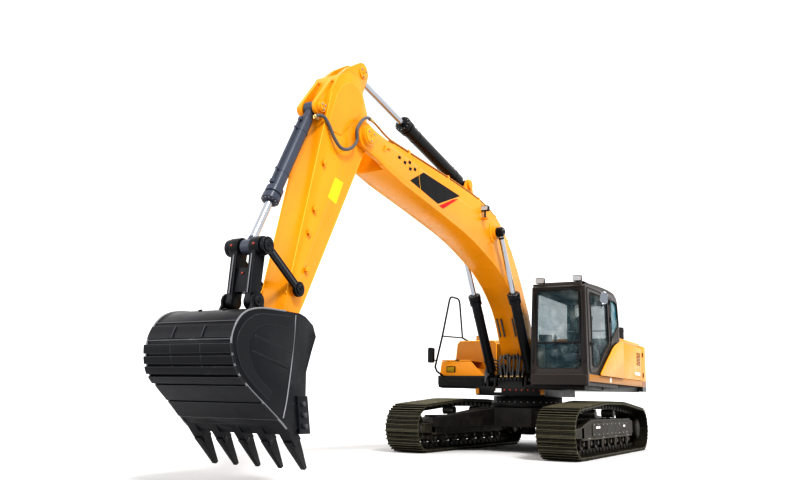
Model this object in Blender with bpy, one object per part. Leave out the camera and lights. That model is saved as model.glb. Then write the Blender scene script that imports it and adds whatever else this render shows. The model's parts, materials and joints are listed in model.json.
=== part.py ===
"""Crawler excavator of the 36 tonne class, parked with its boom raised and its bucket clear of the ground.

Units are metres, +Z is up.  The machine faces -Y and its cab is on +X.  Every size below is measured
from the swing axis on the ground; the whole machine is then shifted along Y so that the middle of its
overall length, from bucket to counterweight, stands on the origin.
Outlines named *_SIDE are (y, z) points seen from the machine's left side.
"""

import math

import bmesh
import bpy
from mathutils import Matrix, Vector

for old in list(bpy.data.objects):
    bpy.data.objects.remove(old, do_unlink=True)

# --- driving dimensions ----------------------------------------------------------------------------
GAP = 0.0003            # between pieces that touch
NOSE = -9.262           # rearmost plate of the bucket, the machine's front end
TAIL = 3.46             # back of the counterweight
SHIFT = Vector((0.0, -(NOSE + TAIL) / 2, 0.0))

GAUGE = 1.378           # swing axis to the middle of a track
SHOE = 0.322            # half width of a track shoe
TUMBLER = 2.14          # swing axis to the idler's and the sprocket's axles
TRACK_R = 0.42          # ground to those axles: outer radius of the shoes around them
TRACK_TOP = 0.952       # top run of the shoes over the carrier rollers
SHOES = 50              # shoes round one track
SHOE_T = 0.055          # shoe plate and grouser
CHAIN_T = 0.15          # shoe and link chain together
CHAIN_HALF = 0.11       # half width of the link chain
FRAME_HALF = 0.19       # half width of a track frame

DECK = (1.16, 1.27)     # bottom and top of the upper frame's platform
BELT = (1.275, 1.40)    # bottom and top of the side sills
SIDE = 1.575            # swing axis to the outer face of the body panels
PANEL_TOP = 2.13        # top of the engine bay's side panels
BAY = (1.04, 2.74)      # front and back of the engine bay
SHEET = 0.03            # thickness of doors and covers

CAB_X = (0.535, 1.575)  # cab, inner and outer side at its floor
CAB_FRONT = -1.305
CAB_REAR = 0.98
CAB_FLOOR = 1.21
CAB_WALL = 0.055
CAB_BASE = 0.21         # thickness of the cab's floor
CAB_LEAN = 0.040        # how far each side leans in at the roof
CAB_ROOF = 3.03
SEAL = 0.006            # gap round the door and the covers
GLASS = 0.006           # thickness of the panes

BOOM_HALF = 0.258       # half width of the boom
ARM_HALF = 0.18         # half width of the arm
FOOT = Vector((0.0, -0.28, 1.62))        # boom foot pin
ELBOW = Vector((0.0, -6.55, 4.25))       # boom to arm
WRIST = Vector((0.0, -7.95, 1.68))       # arm to bucket
BOOM_CYL = 0.378                         # swing axis to a boom cylinder's axis
BOOM_CYL_BASE = Vector((0.0, -0.80, 1.30))
BOOM_CYL_EYE = Vector((0.0, -2.31, 3.785))
ARM_CYL_BASE = Vector((0.0, -3.05, 4.475))
ARM_CYL_EYE = Vector((0.0, -6.50, 5.17))
CURL_CYL_BASE = Vector((0.0, -7.44, 4.37))
CURL_CYL_EYE = Vector((0.0, -8.45, 2.47))  # also the pin of guide links and bucket link
GUIDE_PIN = Vector((0.0, -7.86, 2.08))     # guide links on the arm
BUCKET_PIN = Vector((0.0, -8.505, 1.872))  # bucket link on the bucket

EYE_R = 0.085           # outer radius of the cylinders' eyes

BUCKET_BACK = 0.545     # half width at the bucket's back
BUCKET_LIP = 0.655      # half width at its cutting edge
PLATE = 0.03            # bucket plates

DOOR_HINGE = Vector((1.592, 0.335, 0.0))
LEFT_HINGE = Vector((1.60, BAY[1] - 0.01, 0.0))
RIGHT_HINGE = Vector((-1.60, BAY[1] - 0.01, 0.0))


# --- shape helpers ---------------------------------------------------------------------------------
def mesh_object(name, bm):
    """Object from a bmesh, its faces turned outwards."""
    bmesh.ops.recalc_face_normals(bm, faces=bm.faces)
    mesh = bpy.data.meshes.new(name)
    bm.to_mesh(mesh)
    bm.free()
    obj = bpy.data.objects.new(name, mesh)
    bpy.context.collection.objects.link(obj)
    return obj


def prism(outline, low, high, axis="X"):
    """Closed outline of two coordinates, carried from low to high along an axis."""
    order = {"X": lambda a, b, c: (c, a, b), "Y": lambda a, b, c: (a, c, b), "Z": lambda a, b, c: (a, b, c)}
    bm = bmesh.new()
    face = bm.faces.new([bm.verts.new(order[axis](a, b, low)) for a, b in outline])
    grown = bmesh.ops.extrude_face_region(bm, geom=[face])
    moved = [g for g in grown["geom"] if isinstance(g, bmesh.types.BMVert)]
    bmesh.ops.translate(bm, verts=moved, vec=Vector(order[axis](0.0, 0.0, high - low)))
    return mesh_object("prism", bm)


def box(x, y, z):
    """Block between pairs of coordinates."""
    return prism([(x[0], y[0]), (x[1], y[0]), (x[1], y[1]), (x[0], y[1])], z[0], z[1], "Z")


def hull(points):
    """Convex solid round a list of points."""
    bm = bmesh.new()
    for point in points:
        bm.verts.new(point)
    made = bmesh.ops.convex_hull(bm, input=bm.verts)
    bmesh.ops.delete(bm, geom=list({v for v in made["geom_interior"]}), context="VERTS")
    return mesh_object("hull", bm)


def rod(start, end, radius, sides=24, end_radius=None):
    """Round bar or cone between two points."""
    start, end = Vector(start), Vector(end)
    along = end - start
    bm = bmesh.new()
    bmesh.ops.create_cone(bm, cap_ends=True, segments=sides, radius1=radius,
                          radius2=radius if end_radius is None else end_radius, depth=along.length)
    turn = along.to_track_quat("Z", "Y").to_matrix().to_4x4()
    bmesh.ops.transform(bm, matrix=Matrix.Translation((start + end) / 2) @ turn, verts=bm.verts)
    return mesh_object("rod", bm)


def across(pin, low, high, radius, sides=24):
    """Round bar along X through a pin, from low to high."""
    return rod((low, pin.y, pin.z), (high, pin.y, pin.z), radius, sides)


def pipe(points, radius, sides=10):
    """Bent tube through points, as a curve with filled caps."""
    curve = bpy.data.curves.new("pipe", "CURVE")
    curve.dimensions = "3D"
    curve.bevel_depth = radius
    curve.bevel_resolution = max(0, sides // 4)
    curve.use_fill_caps = True
    spline = curve.splines.new("POLY")
    spline.points.add(len(points) - 1)
    for slot, point in zip(spline.points, points):
        slot.co = (*point, 1.0)
    obj = bpy.data.objects.new("pipe", curve)
    bpy.context.collection.objects.link(obj)
    made = bpy.data.meshes.new_from_object(obj.evaluated_get(bpy.context.evaluated_depsgraph_get()))
    bpy.data.objects.remove(obj, do_unlink=True)
    bm = bmesh.new()
    bm.from_mesh(made)
    bmesh.ops.remove_doubles(bm, verts=bm.verts, dist=0.00005)
    return mesh_object("pipe", bm)


def arc(centre, radius, start, end, steps):
    """Points on a circle between two angles in degrees."""
    angles = [math.radians(start + (end - start) * i / steps) for i in range(steps + 1)]
    return [(centre[0] + radius * math.cos(a), centre[1] + radius * math.sin(a)) for a in angles]


def rounded(x, y, radius, steps=4):
    """Rectangle with round corners, as an outline."""
    corners = [(x[1] - radius, y[0] + radius, -90), (x[1] - radius, y[1] - radius, 0),
               (x[0] + radius, y[1] - radius, 90), (x[0] + radius, y[0] + radius, 180)]
    return [p for cx, cy, a in corners for p in arc((cx, cy), radius, a, a + 90, steps)]


def soften(corners, radius, steps=3):
    """Outline whose corners give way to curves that start and end a radius away from them."""
    out = []
    for before, here, after in zip(corners[-1:] + corners[:-1], corners, corners[1:] + corners[:1]):
        here = Vector(here)
        start = here + (Vector(before) - here).normalized() * radius
        end = here + (Vector(after) - here).normalized() * radius
        for i in range(steps + 1):
            t = i / steps
            out.append(tuple(start * (1 - t) ** 2 + here * 2 * t * (1 - t) + end * t * t))
    return out


def curve_through(points, steps=4):
    """Smooth outline through points (Catmull-Rom), with the given steps between each two."""
    ends = [points[0], *points, points[-1]]
    out = []
    for before, here, there, after in zip(ends, ends[1:], ends[2:], ends[3:]):
        for i in range(steps):
            t = i / steps
            weights = (-t + 2 * t * t - t ** 3, 2 - 5 * t * t + 3 * t ** 3,
                       t + 4 * t * t - 3 * t ** 3, t ** 3 - t * t)
            out.append(tuple(sum(w * p[k] for w, p in zip(weights, (before, here, there, after))) / 2
                             for k in (0, 1)))
    return out + [tuple(points[-1])]


def lean_in(obj, sides=CAB_X):
    """Draws the cab's pieces towards its middle with height, so both sides lean in."""
    middle = sum(sides) / 2
    half = (sides[1] - sides[0]) / 2
    for v in obj.data.vertices:
        rise = (v.co.z - CAB_FLOOR) / (CAB_ROOF - CAB_FLOOR)
        v.co.x = middle + (v.co.x - middle) * (1 - CAB_LEAN / half * rise)
    return obj


def boolean(target, operation, others):
    """Applies one exact Boolean per other solid, then removes those solids."""
    for other in others:
        step = target.modifiers.new(operation, "BOOLEAN")
        step.operation = operation
        step.solver = "EXACT"
        step.object = other
    made = bpy.data.meshes.new_from_object(target.evaluated_get(bpy.context.evaluated_depsgraph_get()))
    target.modifiers.clear()
    target.data = made
    for other in others:
        bpy.data.objects.remove(other, do_unlink=True)
    return target


def finish(name, material, solids, holes=(), pivot=Vector((0.0, 0.0, 0.0)), smooth=35, shape=None):
    """One named sub-part: solids joined, holes cut, origin on its pivot, placed in the machine's frame."""
    obj = solids[0]
    if len(solids) > 1:
        boolean(obj, "UNION", solids[1:])
    if holes:
        boolean(obj, "DIFFERENCE", list(holes))
    if shape:
        shape(obj)
    obj.name = name
    obj.data.name = name
    obj.data.transform(Matrix.Translation(-pivot))
    obj.location = pivot + SHIFT
    obj.data.materials.clear()
    obj.data.materials.append(material)
    obj.data.shade_smooth()
    obj.data.set_sharp_from_angle(angle=math.radians(smooth))
    return obj


def paint(name, color, roughness, metallic=0.0):
    """Principled material with one colour, roughness and metallic value."""
    made = bpy.data.materials.new(name)
    made.use_nodes = True
    shader = made.node_tree.nodes["Principled BSDF"]
    shader.inputs["Base Color"].default_value = (*color, 1.0)
    shader.inputs["Roughness"].default_value = roughness
    shader.inputs["Metallic"].default_value = metallic
    return made


YELLOW = paint("yellow_paint", (0.85, 0.42, 0.03), 0.35)
AMBER = paint("amber_paint", (0.60, 0.27, 0.04), 0.4)
CAB_GREY = paint("cab_grey_paint", (0.045, 0.04, 0.037), 0.4)
BLACK = paint("frame_black_paint", (0.02, 0.02, 0.02), 0.5)
CHARCOAL = paint("bucket_charcoal_paint", (0.035, 0.037, 0.042), 0.45)
SLATE = paint("cylinder_slate_paint", (0.06, 0.065, 0.08), 0.4)
STEEL = paint("track_steel", (0.07, 0.065, 0.05), 0.6, 0.8)
CHROME = paint("rod_chrome", (0.75, 0.76, 0.78), 0.12, 1.0)
PANE = paint("window_glass", (0.35, 0.5, 0.52), 0.05)
CLOTH = paint("seat_cloth", (0.03, 0.03, 0.035), 0.9)
PLASTIC = paint("dark_plastic", (0.03, 0.03, 0.03), 0.6)


# --- tracks and lower frame ------------------------------------------------------------------------
def convex(points):
    """Convex outline round flat points, anticlockwise."""
    points = sorted(set(points))

    def half(run):
        line = []
        for p in run:
            while len(line) > 1 and ((line[-1][0] - line[-2][0]) * (p[1] - line[-2][1])
                                     - (line[-1][1] - line[-2][1]) * (p[0] - line[-2][0])) <= 0:
                line.pop()
            line.append(p)
        return line[:-1]

    return half(points) + half(points[::-1])


def track_line(inset):
    """Outline of the track, drawn in by inset: round idler, carrier rollers and sprocket."""
    carrier = 0.22
    points = []
    for y in (-TUMBLER, TUMBLER):
        points += arc((y, TRACK_R), TRACK_R - inset, 0, 350, 35)
    for y in (-0.62, 0.62):
        points += arc((y, TRACK_TOP - carrier), carrier - inset, 60, 120, 4)
    return convex([(round(a, 5), round(b, 5)) for a, b in points])


def walk(outline, distances):
    """Points at given distances along a closed outline, with the outward normal at each."""
    loop = outline + outline[:1]
    spans = [math.dist(a, b) for a, b in zip(loop, loop[1:])]
    out, reached, i = [], 0.0, 0
    for d in distances:
        while reached + spans[i] < d and i < len(spans) - 1:
            reached += spans[i]
            i += 1
        (ay, az), (by, bz) = loop[i], loop[i + 1]
        t = (d - reached) / spans[i]
        normal = ((bz - az) / spans[i], -(by - ay) / spans[i])
        out.append(((ay + (by - ay) * t, az + (bz - az) * t), normal))
    return out


def shoe_outline():
    """The track's outer line, with a notch where each shoe meets the next."""
    line = track_line(0.0)
    length = sum(math.dist(a, b) for a, b in zip(line, line[1:] + line[:1]))
    pitch, notch, depth = length / SHOES, 0.012, 0.028
    marks = [(i * pitch + side * notch + half * pitch, drop) for i in range(SHOES)
             for half, side, drop in ((0, -1, depth), (0, 1, depth), (0, 2, 0), (1, -2, 0))]
    marks = sorted((m % length, drop) for m, drop in marks)
    found = walk(line, [m for m, drop in marks])
    return [(p[0] - n[0] * drop, p[1] - n[1] * drop) for (p, n), (m, drop) in zip(found, marks)]


def track(side, name):
    """One crawler belt, fixed: shoes on a link chain."""
    x = side * GAUGE
    shoes = prism(shoe_outline(), x - SHOE, x + SHOE)
    chain = prism(track_line(SHOE_T - 0.01), x - CHAIN_HALF, x + CHAIN_HALF)
    inside = prism(track_line(SHOE_T), x - SHOE - 1, x - CHAIN_HALF)
    outside = prism(track_line(SHOE_T), x + CHAIN_HALF, x + SHOE + 1)
    middle = prism(track_line(CHAIN_T), x - CHAIN_HALF - 0.001, x + CHAIN_HALF + 0.001)
    return finish(name, STEEL, [shoes, chain], [inside, outside, middle], smooth=20)


def track_frame(side, name):
    """Track frame with its bottom and carrier rollers, the idler in its yoke and the drive motor's case."""
    x = side * GAUGE
    beam_side = [(-1.72, 0.30), (1.62, 0.30), (1.74, 0.36), (1.74, 0.58), (1.45, 0.62), (-1.25, 0.62),
                 (-1.72, 0.52)]
    solids = [prism(beam_side, x - FRAME_HALF, x + FRAME_HALF)]
    for inner in (-FRAME_HALF, 0.14):
        yoke = [(-2.24, 0.35), (-1.6, 0.33), (-1.6, 0.51), (-2.24, 0.49)]
        solids.append(prism(yoke, x + inner, x + inner + 0.05))
    roller = 0.088
    for i in range(8):
        y = -1.52 + i * 0.435
        centre = Vector((0, y, CHAIN_T + roller + GAP))
        solids.append(across(centre, x - 0.15, x + 0.15, roller, 12))
    for y in (-0.62, 0.62):
        centre = Vector((0, y, TRACK_TOP - CHAIN_T - 0.075 - GAP))
        solids.append(across(centre, x - 0.13, x + 0.13, 0.075, 12))
        solids.append(box((x - 0.05, x + 0.05), (y - 0.05, y + 0.05), (0.60, centre.z)))
    axle = Vector((0, -TUMBLER, TRACK_R))
    solids.append(across(axle, x - 0.07, x + 0.07, TRACK_R - CHAIN_T - 0.002, 32))
    solids.append(across(axle, x - FRAME_HALF, x + FRAME_HALF, 0.10, 20))
    inward = -side
    motor = Vector((0, TUMBLER, TRACK_R))
    low, high = sorted((x + inward * 0.115, x + inward * 0.30))
    solids.append(across(motor, low, high, 0.17, 24))
    low, high = sorted((x + inward * 0.115, x + inward * FRAME_HALF))
    solids.append(box((low, high), (1.6, 2.25), (0.34, 0.56)))
    return finish(name, BLACK, solids)


def sprocket(side, name):
    """Toothed drive wheel with the cover of its reduction gear on the outer side."""
    x = side * GAUGE
    teeth, rim = 21, TRACK_R - CHAIN_T - 0.002
    outline = []
    for i in range(teeth):
        for part, radius in ((0.0, rim - 0.03), (0.3, rim - 0.03), (0.5, rim), (0.8, rim)):
            a = 2 * math.pi * (i + part) / teeth
            outline.append((TUMBLER + radius * math.cos(a), TRACK_R + radius * math.sin(a)))
    centre = Vector((0, TUMBLER, TRACK_R))
    ends = sorted((x - side * 0.11, x + side * 0.19))
    return finish(name, STEEL, [prism(outline, x - 0.035, x + 0.035), across(centre, *ends, 0.185, 28)],
                  pivot=Vector((x, TUMBLER, TRACK_R)))


def carbody():
    """Lower frame: middle box and four legs that splay out to the track frames."""
    reach = GAUGE - FRAME_HALF - GAP
    solids = [box((-0.72, 0.72), (-0.80, 0.80), (0.46, 0.795))]
    for sx in (-1, 1):
        for sy in (-1, 1):
            inner = [(sx * 0.35, sy * y, z) for y in (0.10, 0.80) for z in (0.47, 0.79)]
            bend = [(sx * 0.62, sy * y, z) for y in (0.30, 1.02) for z in (0.47, 0.785)]
            outer = [(sx * reach, sy * y, z) for y in (1.02, 1.70) for z in (0.44, 0.60)]
            solids.append(hull(inner + bend + outer))
    return finish("carbody", BLACK, solids)


def slewing_ring():
    """Bearing ring between the lower and upper frames."""
    base = rod((0, 0, 0.795 + GAP), (0, 0, 0.90), 0.70, 48)
    return finish("slewing_ring", BLACK, [base, rod((0, 0, 0.88), (0, 0, 1.012), 0.655, 48)])


# --- upper frame and body --------------------------------------------------------------------------
def upper_frame():
    """Platform with its keel, boom cheeks, cylinder lugs, firewall, right-hand skirt and control valve."""
    cheek_side = [(-0.98, 1.10), (1.30, 1.10), (1.30, 1.30), (0.30, 1.42)]
    cheek_side += arc((FOOT.y, FOOT.z), 0.165, 40, 150, 6)
    cheek_side += [(-0.72, 1.44)] + arc((BOOM_CYL_BASE.y, BOOM_CYL_BASE.z), 0.105, 70, 180, 4)
    lug_side = arc((BOOM_CYL_BASE.y, BOOM_CYL_BASE.z), 0.105, 0, 180, 6) + [(-0.92, 1.10), (-0.62, 1.10)]
    top = BELT[1] - 0.02 - GAP
    toe = [(-0.59, 1.145), (-0.59, top), (-SIDE, top)] + arc((-SIDE + 0.09, 1.145 + 0.09), 0.09, 180, 270, 4)
    solids = [box((-0.66, 0.66), (-0.95, 0.90), (1.02, DECK[0] + 0.02)),
              box((-SIDE + 0.075, SIDE - 0.075), (-0.10, 2.70), DECK),
              box((-SIDE + 0.075, 0.50), (-0.69, 0.0), DECK),
              box((0.40, SIDE - 0.09), (-1.23, 0.0), (DECK[0] - 0.02, CAB_FLOOR - GAP)),
              box((-SIDE + 0.08, 0.50), (BAY[0] - 0.05, BAY[0] - 0.01), (DECK[0], PANEL_TOP - 0.05)),
              box((-SIDE + 0.01, -0.59), (-0.72, -0.12), (DECK[0], BELT[1] - 0.02 - GAP)),
              prism(toe, -0.725, -0.60, "Y"),
              box((-0.24, 0.24), (-0.93, -0.55), (DECK[0], 1.30)),
              box((-0.15, 0.15), (-0.90, -0.70), (1.28, 1.34))]
    for sx in (-1, 1):
        solids.append(prism(cheek_side, *sorted((sx * 0.273, sx * 0.322))))
        solids.append(prism(lug_side, *sorted((sx * 0.434, sx * 0.475))))
        solids.append(across(FOOT, *sorted((sx * 0.268, sx * 0.36)), 0.10, 20))
    clear = [box((0.40, SIDE), (-0.15, CAB_REAR + 0.02), (CAB_FLOOR - GAP, 1.5))]
    return finish("upper_frame", BLACK, solids, clear)


def counterweight():
    """Cast block across the back, rounded in plan and in side view."""
    top, low = PANEL_TOP + 0.01, 1.18
    side = [(BAY[1] + SEAL, low), (TAIL - 0.20, low)]
    side += arc((TAIL - 0.14, low + 0.16), 0.14, -70, 0, 4) + arc((TAIL - 0.22, top - 0.22), 0.22, 0, 90, 6)
    side += [(BAY[1] + SEAL, top)]
    block = prism(side, -SIDE, SIDE)
    front = BAY[1] + SEAL
    plan = [(-SIDE, front), (SIDE, front)] + arc((SIDE - 0.30, TAIL - 0.40), 0.30, 0, 70, 5)
    plan += [(0.6, TAIL), (-0.6, TAIL)] + arc((-SIDE + 0.30, TAIL - 0.40), 0.30, 110, 180, 5)
    limit = prism(plan, 1.0, 2.5, "Z")
    boolean(block, "INTERSECT", [limit])
    return finish("counterweight", YELLOW, [block])


def sill(side, name):
    """Box-section belt along the lower edge of one side."""
    start = CAB_FRONT + 0.06 if side > 0 else -0.115
    x = sorted((side * SIDE, side * (SIDE - 0.07)))
    return finish(name, AMBER, [box(x, (start + GAP, BAY[1]), (BELT[0], BELT[1]))])


def hood_and_doors():
    """Covers of the engine bay: hood, two side doors, the fixed quarter behind the cab."""
    door_y = (BAY[0] + SEAL, BAY[1] - SEAL)
    door_z = (BELT[1] + SEAL, PANEL_TOP - 0.03)
    for side, name, hinge in ((1, "left_side_door", LEFT_HINGE), (-1, "right_side_door", RIGHT_HINGE)):
        x = sorted((side * SIDE, side * (SIDE - SHEET)))
        finish(name, YELLOW, [box(x, door_y, door_z)], pivot=hinge)
    quarter = [(-0.60, BELT[1] + GAP), (BAY[0] - GAP, BELT[1] + GAP), (BAY[0] - GAP, PANEL_TOP - 0.03)]
    quarter += curve_through([(0.80, 2.10), (0.38, 1.98), (0.0, 1.78), (-0.32, 1.60), (-0.60, 1.43)], 3)
    finish("left_quarter_panel", YELLOW, [prism(quarter, SIDE + 0.012, SIDE + 0.012 + SHEET)])
    rim = box((-SIDE + 0.04, SIDE - 0.04), (BAY[0], BAY[1]), (PANEL_TOP - 0.02, PANEL_TOP + 0.06))
    inner = box((-SIDE + 0.07, SIDE - 0.07), (BAY[0] + SHEET, BAY[1] - SHEET),
                (PANEL_TOP - SHEET, PANEL_TOP + SHEET))
    finish("engine_hood", YELLOW, [rim], [inner], pivot=Vector((0, BAY[0], PANEL_TOP)))
    finish("engine_block", BLACK, [box((-0.45, 0.75), (1.35, 2.25), (DECK[1] + GAP, 2.02))])


def fuel_tank():
    """Tall tank on the right side, with its filler neck."""
    front, back = -0.10, BAY[0] - 0.06
    floor = BELT[1] + GAP
    end = [(-1.535, floor), (-0.60, floor), (-0.60, 2.04), (-0.66, 2.10), (-1.40, 2.10), (-1.46, 2.04)]
    neck = rod((-1.02, 0.0, 2.08), (-1.02, 0.0, 2.17), 0.06, 16)
    return finish("fuel_tank", AMBER, [prism(end, front, back, "Y"), neck])


def toolbox():
    """Low yellow box in front of the tank, its right end sloping, with a lid on top."""
    front, back, wall = -0.70, -0.13, 0.02
    low, top = BELT[1] - 0.02, 1.655
    face = [(-1.555, low), (-0.62, low), (-0.88, top), (-1.515, top)]
    core = [(-1.53, low + wall), (-0.67, low + wall), (-0.92, top + 0.1), (-1.49, top + 0.1)]
    finish("toolbox", YELLOW, [prism(face, front, back, "Y")], [prism(core, front + wall, back - wall, "Y")])
    lid = [(-1.515, top + SEAL), (-0.885, top + SEAL), (-0.905, top + 0.03), (-1.505, top + 0.03)]
    hinge = Vector((-0.885, (front + back) / 2, top + SEAL))
    return finish("toolbox_lid", YELLOW, [prism(lid, front, back, "Y")], pivot=hinge)


def handrail():
    """Bent tube beside the tank, with its crossbar and the black mirror on its front post."""
    x = -1.49
    loop = [(x + 0.03, -0.745, 1.375), (x - 0.03, -0.90, 1.46), (x - 0.03, -0.97, 1.54), (x, -0.73, 2.15),
            (x, -0.42, 2.90), (x, -0.37, 2.96), (x, -0.30, 2.975), (x, -0.04, 2.975), (x, 0.03, 2.95),
            (x, 0.07, 2.88), (x, 0.21, 2.19), (x + 0.05, 0.24, 2.15), (x + 0.10, 0.255, 2.13),
            (x + 0.10, 0.255, 2.1005)]
    solids = [pipe(loop, 0.018), pipe([(x, -0.73, 2.15), (x, 0.21, 2.185)], 0.014)]
    solids.append(pipe([(x - 0.02, -0.93, 1.66), (x - 0.10, -0.95, 1.68)], 0.012))
    solids.append(prism(rounded((x - 0.185, x - 0.075), (1.62, 1.91), 0.025, 2), -0.985, -0.91, "Y"))
    return finish("handrail", PLASTIC, solids)


def cab_outline(inset, base=0.0):
    """Side view of the cab, drawn in by inset, its floor raised by base."""
    front, rear = CAB_FRONT + inset, CAB_REAR - inset
    floor, roof = CAB_FLOOR + base, CAB_ROOF - inset
    line = [(front, floor), (rear, floor), (rear + 0.02, 2.45), (rear - 0.03, 2.86)]
    line += curve_through([(rear - 0.09, 2.95 - inset), (rear - 0.36, roof), (0.0, roof + 0.012),
                           (front + 0.55, roof - 0.012), (front + 0.16, 2.985 - inset),
                           (front + 0.045, 2.93 - inset)], 3)
    return line + [(front, 1.85)]


def cab():
    """Hollow cab with its windows cut, its panes, and the door with its own pane and mirror."""
    low, high = CAB_X
    wall = CAB_WALL
    doorway_line = soften([(-1.17, 1.43), (-0.69, 1.43), (-0.34, 1.645), (0.31, 2.005), (0.31, 2.93),
                           (-1.17, 2.93)], 0.07)
    door_pane = soften([(-0.97, 1.55), (-0.63, 1.55), (-0.38, 1.705), (0.16, 2.01), (0.16, 2.86),
                        (-0.97, 2.86)], 0.06)
    front_pane = rounded((low + 0.11, high - 0.11), (1.49, 2.88), 0.09)
    side_pane = rounded((-1.10, 0.80), (1.90, 2.86), 0.08)
    quarter_pane = soften([(0.42, 2.12), (0.93, 2.42), (0.90, 2.80), (0.80, 2.87), (0.42, 2.87)], 0.06)
    rear_pane = rounded((low + 0.12, high - 0.12), (2.05, 2.84), 0.08)
    hole = prism(cab_outline(wall, CAB_BASE), low + wall, high - wall)
    doorway = prism(doorway_line, high - wall - 0.01, high + 0.05)
    cuts = [hole, doorway,
            box((high - 0.075, high + 0.05), (CAB_FRONT + 0.06, CAB_REAR + 0.1),
                (CAB_FLOOR - 0.05, BELT[1] + GAP)),
            prism(front_pane, CAB_FRONT - 0.1, CAB_FRONT + 0.12, "Y"),
            prism(side_pane, low - 0.05, low + wall + 0.01),
            prism(quarter_pane, high - wall - 0.01, high + 0.05),
            prism(rear_pane, CAB_REAR - wall - 0.05, CAB_REAR + 0.1, "Y")]
    finish("cab_shell", CAB_GREY, [prism(cab_outline(0.0), low, high)], cuts, shape=lean_in)

    def inside(outline, amount=GAP * 2):
        """Outline drawn in towards its middle, so that a pane clears its opening."""
        a = [p[0] for p in outline]
        b = [p[1] for p in outline]
        ca, cb = (min(a) + max(a)) / 2, (min(b) + max(b)) / 2
        ka = 1 - 2 * amount / (max(a) - min(a))
        kb = 1 - 2 * amount / (max(b) - min(b))
        return [(ca + (p - ca) * ka, cb + (q - cb) * kb) for p, q in outline]

    middle = wall / 2
    front = CAB_FRONT + middle + 0.012
    panes = {"windshield": prism(inside(front_pane), front, front + GLASS, "Y"),
             "right_window": prism(inside(side_pane), low + middle, low + middle + GLASS),
             "quarter_window": prism(inside(quarter_pane), high - middle, high - middle + GLASS),
             "rear_window": prism(inside(rear_pane), CAB_REAR - middle, CAB_REAR - middle + GLASS, "Y")}
    for name, pane in panes.items():
        finish(name, PANE, [pane], shape=lean_in)
    door_line = inside(doorway_line, SEAL)
    hinge = DOOR_HINGE
    finish("cab_door", CAB_GREY, [prism(door_line, high - wall, high)],
           [prism(door_pane, high - wall - 0.01, high + 0.01)], pivot=hinge, shape=lean_in)
    finish("door_window", PANE, [prism(inside(door_pane), high - middle, high - middle + GLASS)],
           pivot=hinge, shape=lean_in)
    mirror = prism([(-0.40 + 0.075 * math.cos(a), 2.80 + 0.145 * math.sin(a)) for a in
                    [2 * math.pi * i / 20 for i in range(20)]], high + 0.06, high + 0.10)
    arm = rod((high - 0.035, -0.40, 2.905), (high + 0.08, -0.40, 2.905), 0.012, 10)
    finish("door_mirror", PLASTIC, [mirror, arm], pivot=hinge)


def cab_inside():
    """Seat with its consoles, on the cab floor."""
    floor = CAB_FLOOR + CAB_BASE + GAP
    mid = sum(CAB_X) / 2
    base = [box((mid - 0.22, mid + 0.22), (-0.38, 0.16), (floor, floor + 0.24))]
    for sx in (-1, 1):
        x = sorted((mid + sx * 0.27, mid + sx * 0.39))
        base.append(box(x, (-0.55, 0.12), (floor + 0.30, floor + 0.52)))
        x = sorted((mid + sx * 0.20, mid + sx * 0.38))
        base.append(box(x, (-0.20, 0.12), (floor + 0.10, floor + 0.36)))
        x = mid + sx * 0.33
        base.append(rod((x, -0.47, floor + 0.50), (x, -0.50, floor + 0.70), 0.022, 10))
    finish("seat_console", PLASTIC, base)
    top = floor + 0.24
    pad = rounded((-0.44, 0.06), (top + GAP, top + 0.14), 0.05, 2)
    finish("seat_cushion", CLOTH, [prism(pad, mid - 0.19, mid + 0.19)])
    back = [(0.07, top + 0.10), (0.19, top + 0.10), (0.30, top + 0.90), (0.20, top + 0.90)]
    finish("seat_back", CLOTH, [prism(back, mid - 0.19, mid + 0.19)])


def air_cleaner():
    """Black pre-cleaner drum on the left rear of the hood."""
    base = Vector((1.13, 2.42, PANEL_TOP + 0.06 + GAP))
    rise = Vector((0, 0, 1))
    neck = rod(base, base + rise * 0.10, 0.09, 20)
    return finish("air_cleaner", PLASTIC, [neck, rod(base + rise * 0.08, base + rise * 0.33, 0.155, 28)])


def exhaust():
    """Exhaust pipe on the right rear of the hood."""
    x, y, base = -0.75, 2.30, PANEL_TOP + 0.06 + GAP
    collar = rod((x, y, base), (x, y, base + 0.06), 0.10, 20)
    bend = pipe([(x, y, base + 0.03), (x, y, base + 0.22), (x, y + 0.03, base + 0.29),
                 (x, y + 0.12, base + 0.33)], 0.055, 12)
    return finish("exhaust_pipe", PLASTIC, [collar, bend])


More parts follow.
